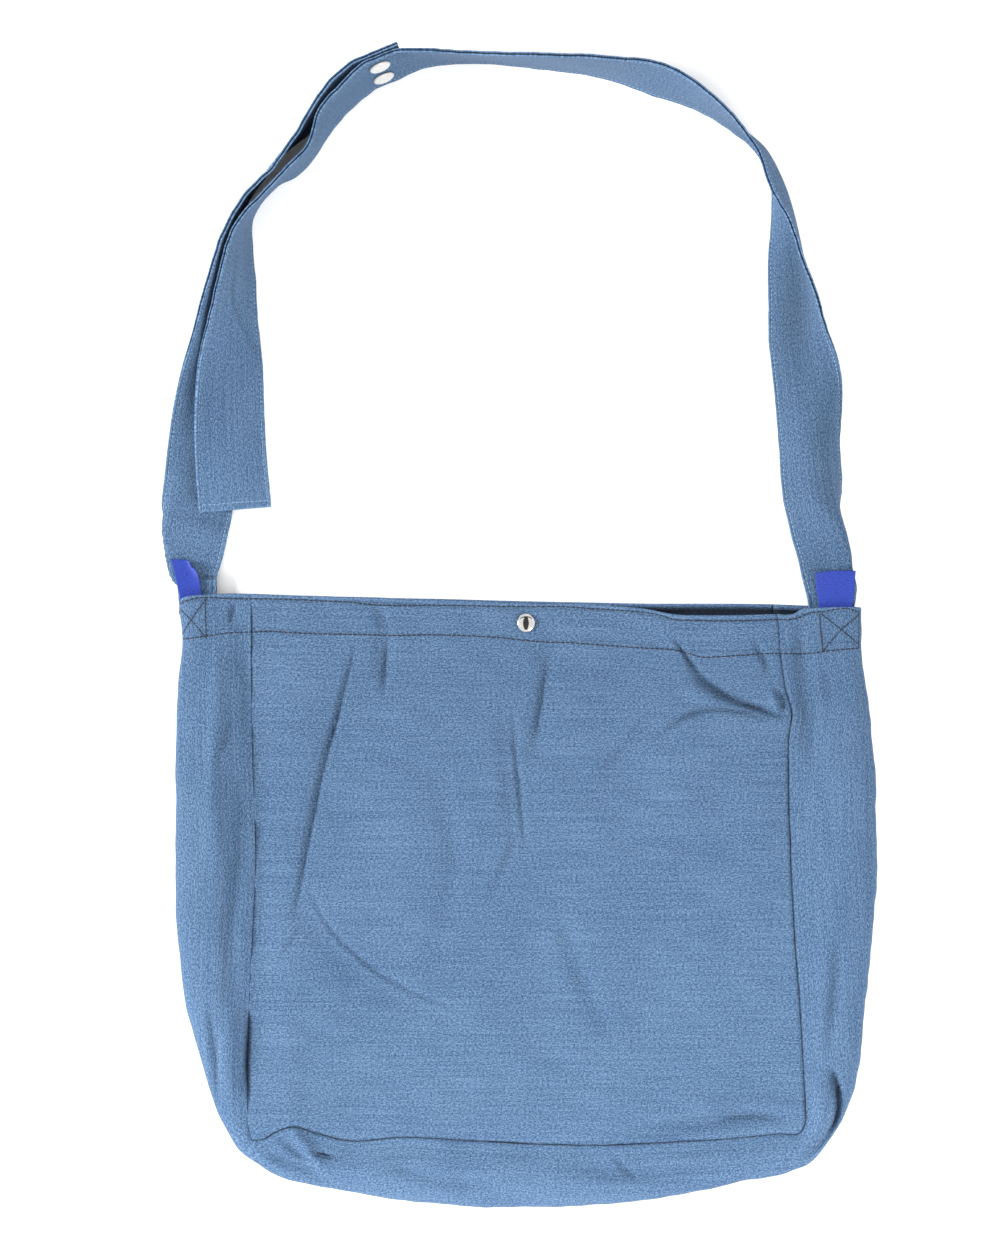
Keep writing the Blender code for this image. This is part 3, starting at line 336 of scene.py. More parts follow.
def denim():
    """Washed chambray: warp and weft of two blues, slubs along the weft, a fine twill."""
    look, shader, add, links = new_look("washed_denim", 0.86)
    shader.inputs["Sheen Weight"].default_value = 0.05
    shader.inputs["Sheen Roughness"].default_value = 0.45
    shader.inputs["Specular IOR Level"].default_value = 0.12
    cut = add("UVMap", uv_map="cut").outputs[0]

    def noise(u, v, detail, shift=0.0):
        place = add("Mapping", {"Vector": cut}, Scale=(u, v, 1), Location=(shift, shift, shift))
        made = add("TexNoise", {"Vector": place.outputs[0]}, Scale=1.0, Detail=detail)
        made.inputs["Roughness"].default_value = 0.6
        return made.outputs[0]

    def weigh(value, weight, rest):
        scaled = add("Math", {0: value}, operation="MULTIPLY_ADD")
        scaled.inputs[1].default_value = weight
        if hasattr(rest, "node"):
            links.new(rest, scaled.inputs[2])
        else:
            scaled.inputs[2].default_value = rest
        return scaled.outputs[0]

    heather, speck = noise(560, 980, 2), noise(1100, 1500, 1, 3)
    slub, cloud = noise(14, 620, 2, 7), noise(14, 18, 3, 11)
    mixed = 0.5 - (1.60 + 1.60 + 0.45 + 0.25) / 2
    for field, weight in ((heather, 1.60), (speck, 1.60), (slub, 0.45), (cloud, 0.25)):
        mixed = weigh(field, weight, mixed)
    ramp = add("ValToRGB", {0: mixed})
    stops = ramp.color_ramp.elements
    stops[0].position, stops[0].color = 0.20, (*DENIM_DARK, 1)
    stops[1].position, stops[1].color = 0.80, (*DENIM_LIGHT, 1)
    middle = stops.new(0.5)
    middle.color = (*DENIM_MIDDLE, 1)
    # The tone attribute pales worn edges and darkens or pales the cloth with painted shade and painted light
    # laid in the mesh.
    tone = add("Attribute", attribute_name="tone").outputs["Fac"]
    shade = add("VectorMath", {0: ramp.outputs[0]}, operation="SCALE")
    links.new(weigh(tone, 0.6, 1.0), shade.inputs["Scale"])
    links.new(shade.outputs[0], shader.inputs["Base Color"])
    turned = add("Mapping", {"Vector": cut}, Rotation=(0, 0, 1.02))
    twill = add("TexWave", {"Vector": turned.outputs[0]}, Scale=560.0, Distortion=0.6, Detail=0.0)
    weft = add("TexWave", {"Vector": cut}, Scale=620.0, Distortion=0.8, bands_direction="Y")
    grain = weigh(twill.outputs[1], 0.5, weigh(weft.outputs[1], 0.4, 0.0))
    grain = weigh(heather, 1.1, weigh(slub, 0.8, grain))
    bump = add("Bump", {"Height": grain}, Strength=0.35, Distance=0.0004)
    links.new(bump.outputs[0], shader.inputs["Normal"])
    return look


DENIM_DARK, DENIM_MIDDLE, DENIM_LIGHT = (0.0267, 0.058, 0.118), (0.058, 0.111, 0.200), (0.119, 0.190, 0.297)
DENIM = denim()

seam_line = HOOP[:, :2] * (HALF_WIDTH, HALF_HEIGHT)
seam_keys = run_along(seam_line)
left_end, right_start, whole = seam_keys[LEFT_CORNER], seam_keys[RIGHT_CORNER], seam_keys[-1]
edge_steps = np.array([0, 0.00012, 0.0004, 0.0008, 0.0013])


def side_places(length):
    """Places down a side, close together at the hem's turned edge."""
    even = np.linspace(0.0021, length, SIDE_CELLS + 1 - len(edge_steps))
    return np.concatenate([edge_steps, even])


stations = np.concatenate([
    side_places(left_end),
    np.linspace(left_end, right_start, BASE_CELLS + 1)[1:-1],
    (whole - side_places(whole - right_start))[::-1],
])
hoop = curve_through(HOOP, seam_keys, stations)
front_seam = hoop[:, :2] * (HALF_WIDTH, HALF_HEIGHT)
from_mouth = np.minimum(stations, whole - stations)
back_seam = front_seam * BACK_INSET
back_seam[:, 1] = blend(front_seam[:, 1], back_seam[:, 1], np.clip(from_mouth / 0.013, 0, 1))

# How tightly the seam is drawn down along its length: loose down the left side, tight elsewhere.
TIGHT_AT = (0, 0.05, 0.3, 0.36, 0.6, 0.66, 0.9, 1)
tightness = np.interp(stations / whole, TIGHT_AT, (0.14, 0.02, 0.04, 0.95, 0.85, 0.85, 0.85, 0.35))
half_gap = SEAM_GAP / 2 * (0.35 + 0.65 * np.minimum(tightness / 0.8, 1))[:, None]


def strip_sections():
    """The outer face of the strip: from the front seam over the top, round the fold, to the back."""
    seam = front_seam - half_gap * inward(front_seam)
    back = back_seam - half_gap * inward(back_seam)
    out = hoop[:, 2:4] * HALF_GUSSET
    crest, seam_z, soft = hoop[:, 4] * LIE, hoop[:, 5] * LIE, hoop[:, 6]
    reach, tip = np.linalg.norm(out, axis=1), seam + out
    under = back - tip
    under_length = np.linalg.norm(under, axis=1)
    under_soft = np.minimum(np.minimum(soft * reach, 0.6 * crest), 0.7 * under_length)
    middle = crest / 2
    guides = []
    for share in (0.0, 0.08, 0.30, 0.62):
        rise = share * share * (3 - 2 * share)
        t = share * (1 - soft)
        guides.append(np.column_stack([seam + t[:, None] * out, seam_z + (crest - seam_z) * rise, t]))
    for angle in (0, 25, 48, 70, 90):
        a = math.radians(angle)
        t = 1 - soft + soft * math.sin(a)
        guides.append(np.column_stack([seam + t[:, None] * out, middle + (crest - middle) * math.cos(a), t]))
    for angle in (115, 145, 180):
        a = math.radians(angle)
        place = tip + unit(under) * (under_soft * (1 - math.sin(a)))[:, None]
        guides.append(np.column_stack([place, middle * (1 + math.cos(a)), np.ones_like(t)]))
    guides.append(np.column_stack([back, np.zeros_like(t), np.ones_like(t)]))
    guides = np.stack(guides, 1)
    near = np.array([0, 0.003, 0.007, 0.012, 0.019])
    shares = np.concatenate([near, np.linspace(0.028, 1, ROUND_CELLS + 1 - len(near))])
    grid, across = [], []
    for section in guides:
        keys = run_along(section[:, :3])
        grid.append(curve_through(section, keys, shares * keys[-1]))
        across.append(shares * keys[-1])
    return np.array(grid), np.array(across)


sections, across = strip_sections()
share_out = np.clip(sections[..., 3], 0, 1)
strip_outer = sections[..., :3].copy()
sx, sy = strip_outer[..., 0].copy(), strip_outer[..., 1].copy()
upper = 1 - share_out**4
wander = 0.0006 * drift(sx, sy, 0.045, 5) + 0.00022 * drift(sx, sy, 0.016, 6)
strip_creases, strip_shade = creased(sx, sy)
strip_outer[..., 2] += (strip_creases + wander) * upper
ripple = np.sin(stations / 0.0024 + 1.5 * np.sin(stations / 0.013))
pucker = 0.00010 * ripple[:, None] * np.exp(-across / 0.004)
roll_off = SEAM_DIP * tightness[:, None] * np.clip(1 - across / 0.0022, 0, 1) ** 2
strip_outer[..., 2] += (pucker - roll_off) * upper
side_out = unit(hoop[:, 2:4])
bulge = 0.0006 * drift(stations, 0 * stations, 0.06, 8) + 0.0003 * drift(stations, 0 * stations, 0.02, 9)
on_fold = ease(share_out, 0.6, 1.0)
for axis in (0, 1):
    strip_outer[..., axis] += (bulge * side_out[:, axis])[:, None] * on_fold * (sections[..., 2] > 0.001)
thick = np.repeat(cloth_thickness(from_mouth)[:, None], across.shape[1], 1)
strip_inner, strip_normal = wall(strip_outer, thick, (SIDE_CELLS // 2, 8))
relief = hem_relief(from_mouth)[:, None] * (0.3 + 0.7 * upper)
fall = rounded(from_mouth, HEM_CLOTH)[:, None]
strip_outer += strip_normal * (relief - fall)[..., None]
strip_inner += strip_normal * fall[..., None]
for grid in (strip_outer, strip_inner):
    back_share = np.clip((share_out - 0.97) / 0.03, 0, 1) * (sections[..., 2] < LIE * 0.55)
    grid[..., 1] += blend(mouth_shift(sx, sy, "front"), mouth_shift(sx, sy, "back"), back_share)
    grid[..., 2] = np.maximum(grid[..., 2], OFF_TABLE)


def hem_tone(down):
    """Turned edges are paler where the cloth is worn; the grooves of the stitching are darker with painted
    shade.
    """
    first, second = (np.exp(-(((down - row) / 0.0008) ** 2)) for row in HEM_ROWS)
    grooves = first + 0.7 * second
    return 0.30 * (1 - ease(down, 0.0006, 0.0030)) - 0.28 * grooves


def painted_light_by_height(y):
    """Painted light and shade: the cloth is painted a little paler towards the base and darker towards the
    mouth.
    """
    return np.interp(y, (-0.205, -0.16, -0.09, 0.012, 0.116), (0.26, 0.09, 0.05, -0.09, -0.18))


strip_tone = hem_tone(from_mouth)[:, None] + painted_light_by_height(strip_outer[..., 1])
# Painted shade: a dark line in the seam's groove, darker where the seam is drawn tight.
strip_tone = strip_tone - 0.85 * tightness[:, None] * np.exp(-((across / 0.0007) ** 2))
# Painted shade in the creases and dents.
strip_tone = strip_tone - 0.80 * strip_shade * upper
# Painted shade inside the bag: the strip's inner face darkens beyond the hem.
strip_under = hem_tone(from_mouth) - 1.3 * ease(from_mouth, 0.0010, 0.0026)
strip_under = np.repeat(strip_under[:, None], across.shape[1], 1)
strip_cut = np.stack([np.repeat(stations[:, None], across.shape[1], 1), across], -1)
strip = cloth_piece(
    "side_and_base_cloth", strip_outer, strip_inner, strip_cut, strip_tone, DENIM,
    thin=2, inner_tone=strip_under,
)
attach(strip, "root")
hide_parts("side_and_base_strip")


# The front panel is a square of the same denim with its weft across. It lies on the back panel,
# creased from being folded, and its seams roll down into the strip. Its hem is turned in twice.
CROWN = 0.0015


def panel_points(seam, height, every):
    """A square panel blended from its three seams and its mouth: a grid of points, and which of
    the strip's stations its rows are. Away from the edges it takes one station in so many."""
    edge = seam + half_gap * inward(seam)
    down = SIDE_CELLS
    keep = np.unique(np.concatenate([np.arange(0, 6), np.arange(6, down, every), [down]]))
    left, right = edge[: down + 1], edge[: -down - 2 : -1]
    base = edge[down : len(edge) - down]
    u = np.linspace(0, 1, BASE_CELLS + 1)[None, :]
    v = (from_mouth[: down + 1] / left_end)[:, None]
    top = blend(left[0], right[0], u[..., None])
    corners = blend(left[-1], right[-1], u[..., None])
    place = (
        blend(top, base[None], v[..., None])
        + blend(left[:, None], right[:, None], u[..., None])
        - blend(top, corners, v[..., None])
    )
    z = np.zeros(place.shape[:2])
    if height is not None:
        at = np.clip(place[..., 0] / HALF_WIDTH, MOUTH[0, 0], MOUTH[-1, 0])
        z_top = curve_through(MOUTH, MOUTH[:, 0], at.ravel())[:, 3].reshape(at.shape) * LIE
        sides = blend(height[: down + 1][:, None], height[: -down - 2 : -1][:, None], u)
        ends = blend(height[down], height[len(height) - 1 - down], u)
        z = blend(z_top, height[down : len(height) - down][None], v) + sides
        z = z - blend(blend(height[0], height[-1], u), ends, v)
    last = [BASE_CELLS - 2, BASE_CELLS - 1, BASE_CELLS]
    columns = np.unique(np.concatenate([[0, 1, 2], np.arange(3, BASE_CELLS - 2, every), last]))
    return np.dstack([place, z])[np.ix_(keep, columns)], keep


def seam_distance(points, line):
    """How far each point of a panel lies from its seam, and where along the seam that is."""
    tree = KDTree(len(line))
    for i, (x, y) in enumerate(line):
        tree.insert((x, y, 0), i)
    tree.balance()
    found = np.array([tree.find((x, y, 0))[1:] for x, y in points[..., :2].reshape(-1, 2)])
    return found[:, 1].reshape(points.shape[:2]), found[:, 0].reshape(points.shape[:2])


front_grid, keep = panel_points(front_seam, hoop[:, 5] * LIE, 1)
px, py = front_grid[..., 0].copy(), front_grid[..., 1].copy()
down_front = np.repeat(from_mouth[: SIDE_CELLS + 1][keep][:, None], px.shape[1], 1)
SEAM_STEPS = 4000
dense = curve_through(front_seam, stations, np.linspace(0, whole, SEAM_STEPS))
to_seam, seam_at = seam_distance(front_grid, dense)
to_seam = np.maximum(to_seam - 0.0001, 0)
tight = np.interp(seam_at / (SEAM_STEPS - 1) * whole, stations, tightness)
u, v = np.linspace(0, 1, px.shape[1])[None, :], (down_front / left_end)
front_creases, front_shade = creased(px, py)
relief = front_creases + CROWN * np.sin(math.pi * u) * np.sin(math.pi * np.clip(v, 0, 1))
relief += (0.0007 * drift(px, py, 0.075, 1) + 0.00028 * drift(px, py, 0.022, 2)) * ease(to_seam, 0, 0.02)
angle = np.arctan2(py, px)
relief += 0.00010 * np.sin(angle * 185 / 2.4 + 2 * np.sin(angle * 14)) * np.exp(-to_seam / 0.004)
relief -= SEAM_DIP * tight * np.clip(1 - to_seam / 0.0022, 0, 1) ** 2
front_outer = front_grid.copy()
front_outer[..., 2] += relief
front_outer[..., 1] += mouth_shift(px, py, "front")
front_inner, normal = wall(front_outer, cloth_thickness(down_front), (120, 120))
fall = rounded(down_front, HEM_CLOTH)
front_outer += normal * (hem_relief(down_front) - fall)[..., None]
front_inner += normal * fall[..., None]
# Painted light and shade by height, painted shade in the seams' grooves where they are drawn tight, and
# painted shade in the creases and dents.
front_tone = hem_tone(down_front) + painted_light_by_height(py) - 0.85 * tight * np.exp(-((to_seam / 0.0007) ** 2))
front_tone = front_tone - 0.74 * front_shade
front_cut = np.stack([px + 3.0, py], -1)
front = cloth_piece("front_panel_cloth", front_outer, front_inner, front_cut, front_tone, DENIM, thin=2)
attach(front, "root")
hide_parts("front_panel")


# The back panel is the same square, flat on the table. Its hem stands off it by the height of the
# snap's back half, and its edge shows above the front hem where the mouth gapes.
STANDOFF = 0.0025
back_grid, keep = panel_points(back_seam, None, 2)
bx, by = back_grid[..., 0].copy(), back_grid[..., 1].copy()
down_back = np.repeat(from_mouth[: SIDE_CELLS + 1][keep][:, None], bx.shape[1], 1)
lower, side = np.maximum(0, HALF_HEIGHT - by) / (3.2 * HEM_DEPTH), np.abs(bx) / (0.8 * HALF_WIDTH)
rise = STANDOFF * np.clip(1 - lower**2, 0, 1) ** 2 * np.minimum(1, 1.35 * np.clip(1 - side**2, 0, 1) ** 2)
back_low = back_grid.copy()
back_low[..., 1] += mouth_shift(bx, by, "back")
back_low[..., 2] = rise + OFF_TABLE + 0.0002 * (drift(bx, by, 0.05, 3) + 2) * ease(down_back, 0, 0.02) * 0.5
back_high = back_low.copy()
back_high[..., 2] += cloth_thickness(down_back) - rounded(down_back, HEM_CLOTH) + 0.8 * hem_relief(down_back)
back_low[..., 2] += rounded(down_back, HEM_CLOTH)
# Painted shade inside the bag: the back hem's inner face darkens below its turned edge.
back_tone = hem_tone(down_back) - 1.3 * ease(down_back, 0.0010, 0.0026)
back_cut = np.stack([bx + 5.0, by], -1)
back = cloth_piece(
    "back_panel_cloth", back_high, back_low, back_cut, back_tone, DENIM, inner_tone=0 * back_tone
)
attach(back, "root")
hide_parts("back_panel")


# The strap is two bands of the same denim, doubled and stitched along both edges. The long band
# comes out of the right end of the mouth, folds over itself, stands on its edge round the top and
# lies down again at its loose tail on the left.
STRAP_WIDTH, STRAP_THICK, STRAP_REACH, STRAP_RISE = 0.050, 0.0022, 0.242, 0.373
STRAP_IN_HEM, STRAP_STEP, SNAP_FLAT, FIT_GAP = 0.022, 0.0125, 0.013, 0.0005
SNAP_FROM_TAIL, END_PAST_SNAP, SNAP_SPACING, SOCKET_HEIGHT = 0.341, 0.017, 0.0215, 0.0020
EDGE_ROW = 0.0026
# The edge of a band, where its two plies are turned in: mm from the edge, half the thickness in mm,
# and its tone: paler where the cloth is worn, darker with painted shade in the grooves. The first rows are
# the groove between the plies.
EDGE_PROFILE = np.array([
    (1.3, 0.06, -1.2), (0.9, 0.20, -1.0), (0.45, 0.42, -0.5), (0.12, 0.66, 0.2), (0.0, 0.95, 0.7),
    (0.10, 1.26, 0.8), (0.40, 1.46, 0.6), (0.9, 1.52, 0.3), (1.5, 1.40, 0.1), (2.1, 1.12, -0.2),
    (2.6, 0.92, -0.3), (3.1, 1.00, -0.1), (3.9, 1.12, 0.1), (5.4, 1.12, 0.0),
])
# Its line from the hem to the tail: its place, the tilt of the cloth, how far it is folded and
# where across it, how softly, and how high its lowest edge lies.
# x, y, roll, fold, crease, round, lift
LONG_BAND = np.array([
    (.907, -.008, -90, -180, .64, .1, .17), (.901, .021, -90, -180, .7, .1, .14),
    (.886, .059, -90, -178, .72, .11, .06), (.873, .097, -76, -168, .74, .14, 0),
    (.853, .134, -54, -140, .74, .25, 0), (.831, .188, -26, -98, .62, .55, 0),
    (.811, .29, -8, -98, .55, .7, 0), (.802, .365, 6, -72, .5, .7, 0),
    (.789, .424, 24, -30, .5, .55, 0), (.777, .486, 40, 8, .55, .4, 0), (.777, .55, 53, 35, .6, .3, 0),
    (.77, .617, 67, 54, .6, .26, 0), (.75, .706, 86, 49, .6, .26, 0), (.732, .754, 99, 50, .6, .26, 0),
    (.711, .789, 102, 40, .6, .3, 0), (.674, .829, 98, 26, .6, .36, 0), (.6, .869, 90, 2, .5, .4, 0),
    (.467, .932, 78, 0, .5, .4, 0), (.397, .953, 72, 0, .5, .4, 0), (.23, .98, 81, 0, .5, .4, 0),
    (.041, .992, 87, 0, .5, .4, 0), (-.159, .999, 90, 0, .5, .4, 0), (-.303, .996, 83, 0, .5, .4, .05),
    (-.36, .988, 77, 0, .5, .4, .07), (-.412, .977, 74, 0, .5, .4, .07),
    (-.463, .955, 76, 0, .5, .4, .07), (-.511, .926, 78, 0, .5, .4, .05),
    (-.564, .887, 79, 0, .5, .4, 0), (-.584, .861, 83, 0, .5, .4, 0), (-.606, .83, 87, 0, .5, .4, 0),
    (-.665, .79, 87, 0, .5, .4, 0), (-.702, .772, 92, 0, .5, .4, 0), (-.75, .74, 93, 0, .5, .4, 0),
    (-.786, .709, 88, 0, .5, .4, 0), (-.808, .66, 76, 0, .5, .4, 0), (-.82, .597, 65, 4, .5, .4, 0),
    (-.832, .52, 53, 6, .5, .4, .02), (-.84, .432, 32, 4, .5, .4, .06),
    (-.842, .346, 21, 0, .5, .4, .1), (-.838, .27, 16, -4, .5, .4, .14),
    (-.826, .17, 8, -8, .5, .4, .2),
])


def band_line(rows, lean=0.0):
    """A band's middle line: its rows in metres, with an end inside the hem."""
    placed = rows * (STRAP_REACH, STRAP_RISE, 1, 1, 1, 1, LIE) + (0, HALF_HEIGHT, 0, 0, 0, 0, 0)
    first = placed[0] + (lean, -STRAP_IN_HEM, 0, 0, 0, 0, 0)
    return np.vstack([first, placed])


def band_stations(placed):
    """A band's rows at even steps along its line, and how far along each one lies."""
    keys = run_along(placed[:, :2])
    at = [0.0]
    for near, far in zip(keys, keys[1:]):
        count = math.ceil((far - near) / STRAP_STEP)
        at += [near + (far - near) * k / count for k in range(1, count + 1)]
    rows = curve_through(placed, keys, at)
    return rows, run_along(rows[:, :2])


def straighten(rows, walked, at):
    """Holds a band straight and flat where its snaps are."""
    inside = np.flatnonzero(np.abs(walked - at) <= SNAP_FLAT + FIT_GAP)
    a, b = rows[inside[0]].copy(), rows[inside[-1]].copy()
    share = (walked[inside] - walked[inside[0]]) / (walked[inside[-1]] - walked[inside[0]])
    for column in (0, 1, 6):
        rows[inside, column] = blend(a[column], b[column], share)
    rows[inside, 2] = (a[2] + b[2]) / 2
    rows[inside, 3] = 0


def band_spine(row, stops):
    """A band's section: the middle of the cloth and its heading at each stop across it."""
    turn = math.radians(row[3])
    start = math.radians(row[2]) - turn / 2
    bend = row[5] * STRAP_WIDTH
    low = row[4] * STRAP_WIDTH - bend / 2
    middles = (stops[1:] + stops[:-1]) / 2
    heading = start + turn * np.clip((middles - low) / bend, 0, 1)
    step = np.diff(stops)[:, None] * np.column_stack([np.cos(heading), np.sin(heading)])
    spine = np.vstack([[0, 0], np.cumsum(step, axis=0)])
    centre = np.array([np.interp(STRAP_WIDTH / 2, stops, spine[:, k]) for k in (0, 1)])
    heading = start + turn * np.clip((stops - low) / bend, 0, 1)
    normal = np.column_stack([-np.sin(heading), np.cos(heading)])
    lowest = (spine[:, 1] - np.abs(normal[:, 1]) * STRAP_THICK / 2).min()
    shift = np.array([-centre[0], max(row[6], 0) - lowest])
    return spine + shift, normal, centre + shift


def band_frames(rows):
    """The ways along a band and out from it, at each row, seen from above."""
    step = np.gradient(rows[:, :2], axis=0)
    along = unit(step)
    return along, np.stack([along[:, 1], -along[:, 0]], 1)


def band_place(rows, walked, at):
    """The middle of a band at its snaps, with its directions along, across and out."""
    k = int(np.argmin(np.abs(walked - at)))
    along, out = (d[k] for d in band_frames(rows))
    roll = math.radians(rows[k, 2])
    stops = np.linspace(0, STRAP_WIDTH, 41)
    centre = band_spine(rows[k], stops)[2]
    across = Vector((out[0] * math.cos(roll), out[1] * math.cos(roll), math.sin(roll)))
    face = Vector((-out[0] * math.sin(roll), -out[1] * math.sin(roll), math.cos(roll)))
    return k, Vector((rows[k, 0], rows[k, 1], centre[1])), Vector((*along, 0)), across, face


def band_cloth(name, rows, walked, turn, seed, painted_shade, fold=None):
    """A band of doubled cloth lofted along its line, with grooved stitching and wavy edges."""
    end = walked[-1]
    tips = np.array([0, 0.0002, 0.0006, 0.0011, 0.0018])
    at = np.concatenate([tips, np.arange(0.0040, end - 0.0040, 0.0025), end - tips[::-1]])
    fine = curve_through(rows, walked, at)
    edge, bead = EDGE_PROFILE[:, 0] / 1000, EDGE_PROFILE[:, 1] / 1000
    flat = np.linspace(0.0076, STRAP_WIDTH - 0.0076, 19)
    stops = np.concatenate([edge, flat, STRAP_WIDTH - edge[::-1]])
    half = np.concatenate([bead, np.full(19, STRAP_THICK / 2), bead[::-1]])
    out = turn * band_frames(fine)[1]
    even = np.linspace(0, STRAP_WIDTH, 101)
    faces, normals, cut = [[], []], [], []
    wave = drift(at, 0 * at, 0.011, seed)
    wave_far = drift(at, 0 * at, 0.012, seed + 1)
    slow = drift(at, 0 * at, 0.05, seed + 2)
    beside, strength = np.zeros((len(at), len(stops))), np.zeros(len(at))
    for k, row in enumerate(fine):
        spine, normal, _ = band_spine(row, even)
        spine = np.column_stack([np.interp(stops, even, spine[:, c]) for c in (0, 1)])
        normal = unit(np.column_stack([np.interp(stops, even, normal[:, c]) for c in (0, 1)]))
        near_tip = min(at[k], end - at[k])
        tip = math.sqrt(max(1 - max(1 - near_tip / (STRAP_THICK / 2), 0) ** 2, 0.004))
        stitched = 1 - 0.25 * math.exp(-(((near_tip - 0.004) / 0.0009) ** 2)) * (at[k] > end / 2)
        edges = wave[k] * np.exp(-stops / 0.005) + wave_far[k] * np.exp(-(STRAP_WIDTH - stops) / 0.005)
        waves = 0.00022 * edges
        waves = waves + 0.0003 * slow[k] * np.sin(math.pi * stops / STRAP_WIDTH)
        if fold is not None:
            beside[k] = (stops - np.interp(end - at[k], fold[:, 0], fold[:, 1])) * 0.8
            strength[k] = np.interp(end - at[k], fold[:, 0], fold[:, 2])
            waves = waves + strength[k] * 0.0010 * np.exp(-((beside[k] / 0.0030) ** 2))
        ease_in = ease(at[k], 0.02, 0.05)
        middle = spine + normal * (waves * ease_in)[:, None]
        ways = np.array([[out[k, 0], out[k, 1], 0], [0, 0, 1]])
        base = np.array([fine[k, 0], fine[k, 1], 0])
        for face, side in zip(faces, (1, -1)):
            section = middle + side * normal * (half * tip * stitched)[:, None]
            face.append(base + section @ ways)
        normals.append(normal @ ways)
        cut.append(np.column_stack([np.full(len(stops), at[k]), stops + seed]))
    outer, inner = np.array(faces[0]), np.array(faces[1])
    lift = np.maximum(0, OFF_TABLE - np.minimum(outer[..., 2], inner[..., 2]).min(axis=1))
    outer[..., 2] += lift[:, None]
    inner[..., 2] += lift[:, None]
    edge_tone = EDGE_PROFILE[:, 2]
    tone = np.concatenate([edge_tone, np.zeros(19), edge_tone[::-1]])
    tone = np.repeat(tone[None], len(at), 0)
    # Paler where the band's cut end is worn, plus the painted shade given for the band.
    tone = tone + 0.3 * (1 - ease(end - at, 0.0004, 0.0018))[:, None] + painted_shade(at[:, None], stops)
    # Painted highlight along the crest of the tail's fold and painted shade in the hollow beside it.
    crest = 0.22 * np.exp(-((beside / 0.0012) ** 2)) - 0.30 * np.exp(-(((beside + 0.0042) / 0.0026) ** 2))
    tone += strength[:, None] * crest
    made = cloth_piece(name, outer, inner, np.array(cut), tone, DENIM, inner_tone=tone)
    return made, dict(outer=outer, inner=inner, normal=np.array(normals), at=at, stops=stops)


long_rows, long_walked = band_stations(band_line(LONG_BAND))
snap_at = long_walked[-1] - SNAP_FROM_TAIL
straighten(long_rows, long_walked, snap_at)
# The soft fold across the tail: how far from the band's end, how far across it, and how strong.
TAIL_FOLD = np.array([
    (0.100, 0.008, 0.0), (0.114, 0.012, 0.8), (0.138, 0.030, 1.0),
    (0.150, 0.036, 1.0), (0.172, 0.038, 0.5), (0.190, 0.040, 0.0),
])


def long_painted_shade(at, across):
    """Painted shade: the band is painted darker than its tail, and darkest where it twists and shades itself.
    """
    places = (0, 0.15, 0.22, 0.26, 0.31, 0.36, 0.79, 0.84)
    shade_along = np.interp(at, places, (-0.33, -0.38, -0.45, -0.38, -0.15, -0.28, -0.28, 0))
    twist = np.exp(-(((at - 0.235) / 0.050) ** 2) - ((across - 0.021) / 0.013) ** 2)
    return shade_along - 0.42 * twist


def short_painted_shade(at, across):
    """Painted shade: the short band is painted a little darker than the tail over it."""
    return -0.2


long_band, long_grid = band_cloth("long_band_cloth", long_rows, long_walked, 1, 21, long_painted_shade, TAIL_FOLD)
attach(long_band, "root")
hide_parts("strap_long_band")


# The short band comes out of the left end of the mouth and is a plain doubled band with a square
# end, which lies behind the long one where the two snaps hold them together.
# x, y, roll, fold, crease, round, lift
SHORT_BAND = np.array([
    (-.986, .012, -90, -180, .52, .1, .17), (-.982, .031, -90, -180, .56, .1, .12),
    (-.985, .046, -90, -180, .64, .1, .06), (-.977, .07, -90, -180, .75, .1, 0),
    (-.964, .097, -90, -180, .85, .09, 0), (-.951, .134, -84, -168, .92, .09, 0),
    (-.941, .165, -30, -70, .91, .12, 0), (-.93, .209, -2, -14, .8, .3, 0),
    (-.917, .282, 4, -8, .6, .5, 0), (-.9, .357, 16, 0, .5, .4, 0), (-.886, .408, 26, 0, .5, .4, 0),
    (-.871, .483, 48, 0, .5, .4, 0), (-.86, .546, 59, 0, .5, .4, 0), (-.852, .59, 67, 0, .5, .4, 0),
    (-.838, .658, 79, 0, .5, .4, 0), (-.807, .723, 90, 0, .5, .4, 0), (-.779, .753, 93, 0, .5, .4, 0),
    (-.731, .787, 96, 0, .5, .4, 0), (-.691, .822, 96, 0, .5, .4, 0), (-.638, .859, 90, 0, .5, .4, 0),
    (-.585, .897, 80, 0, .5, .4, .02), (-.537, .933, 76, 0, .5, .4, .05),
])
snap_k, snap_place, snap_along, snap_across, snap_face = band_place(long_rows, long_walked, snap_at)
behind = []
roll = math.radians(long_rows[snap_k, 2])
for past in (SNAP_FLAT, 0.0, -END_PAST_SNAP):
    spot = snap_place + past * snap_along - (STRAP_THICK + SOCKET_HEIGHT) * snap_face
    low = spot.z - STRAP_WIDTH / 2 * math.sin(roll) - STRAP_THICK / 2 * math.cos(roll)
    behind.append([spot.x, spot.y, *long_rows[snap_k, 2:6], low])
short_rows, short_walked = band_stations(np.vstack([band_line(SHORT_BAND, 0.007), behind]))
straighten(short_rows, short_walked, short_walked[-1] - END_PAST_SNAP)
short_band, short_grid = band_cloth("short_band_cloth", short_rows, short_walked, -1, 31, short_painted_shade)
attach(short_band, "root")
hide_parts("strap_short_band")


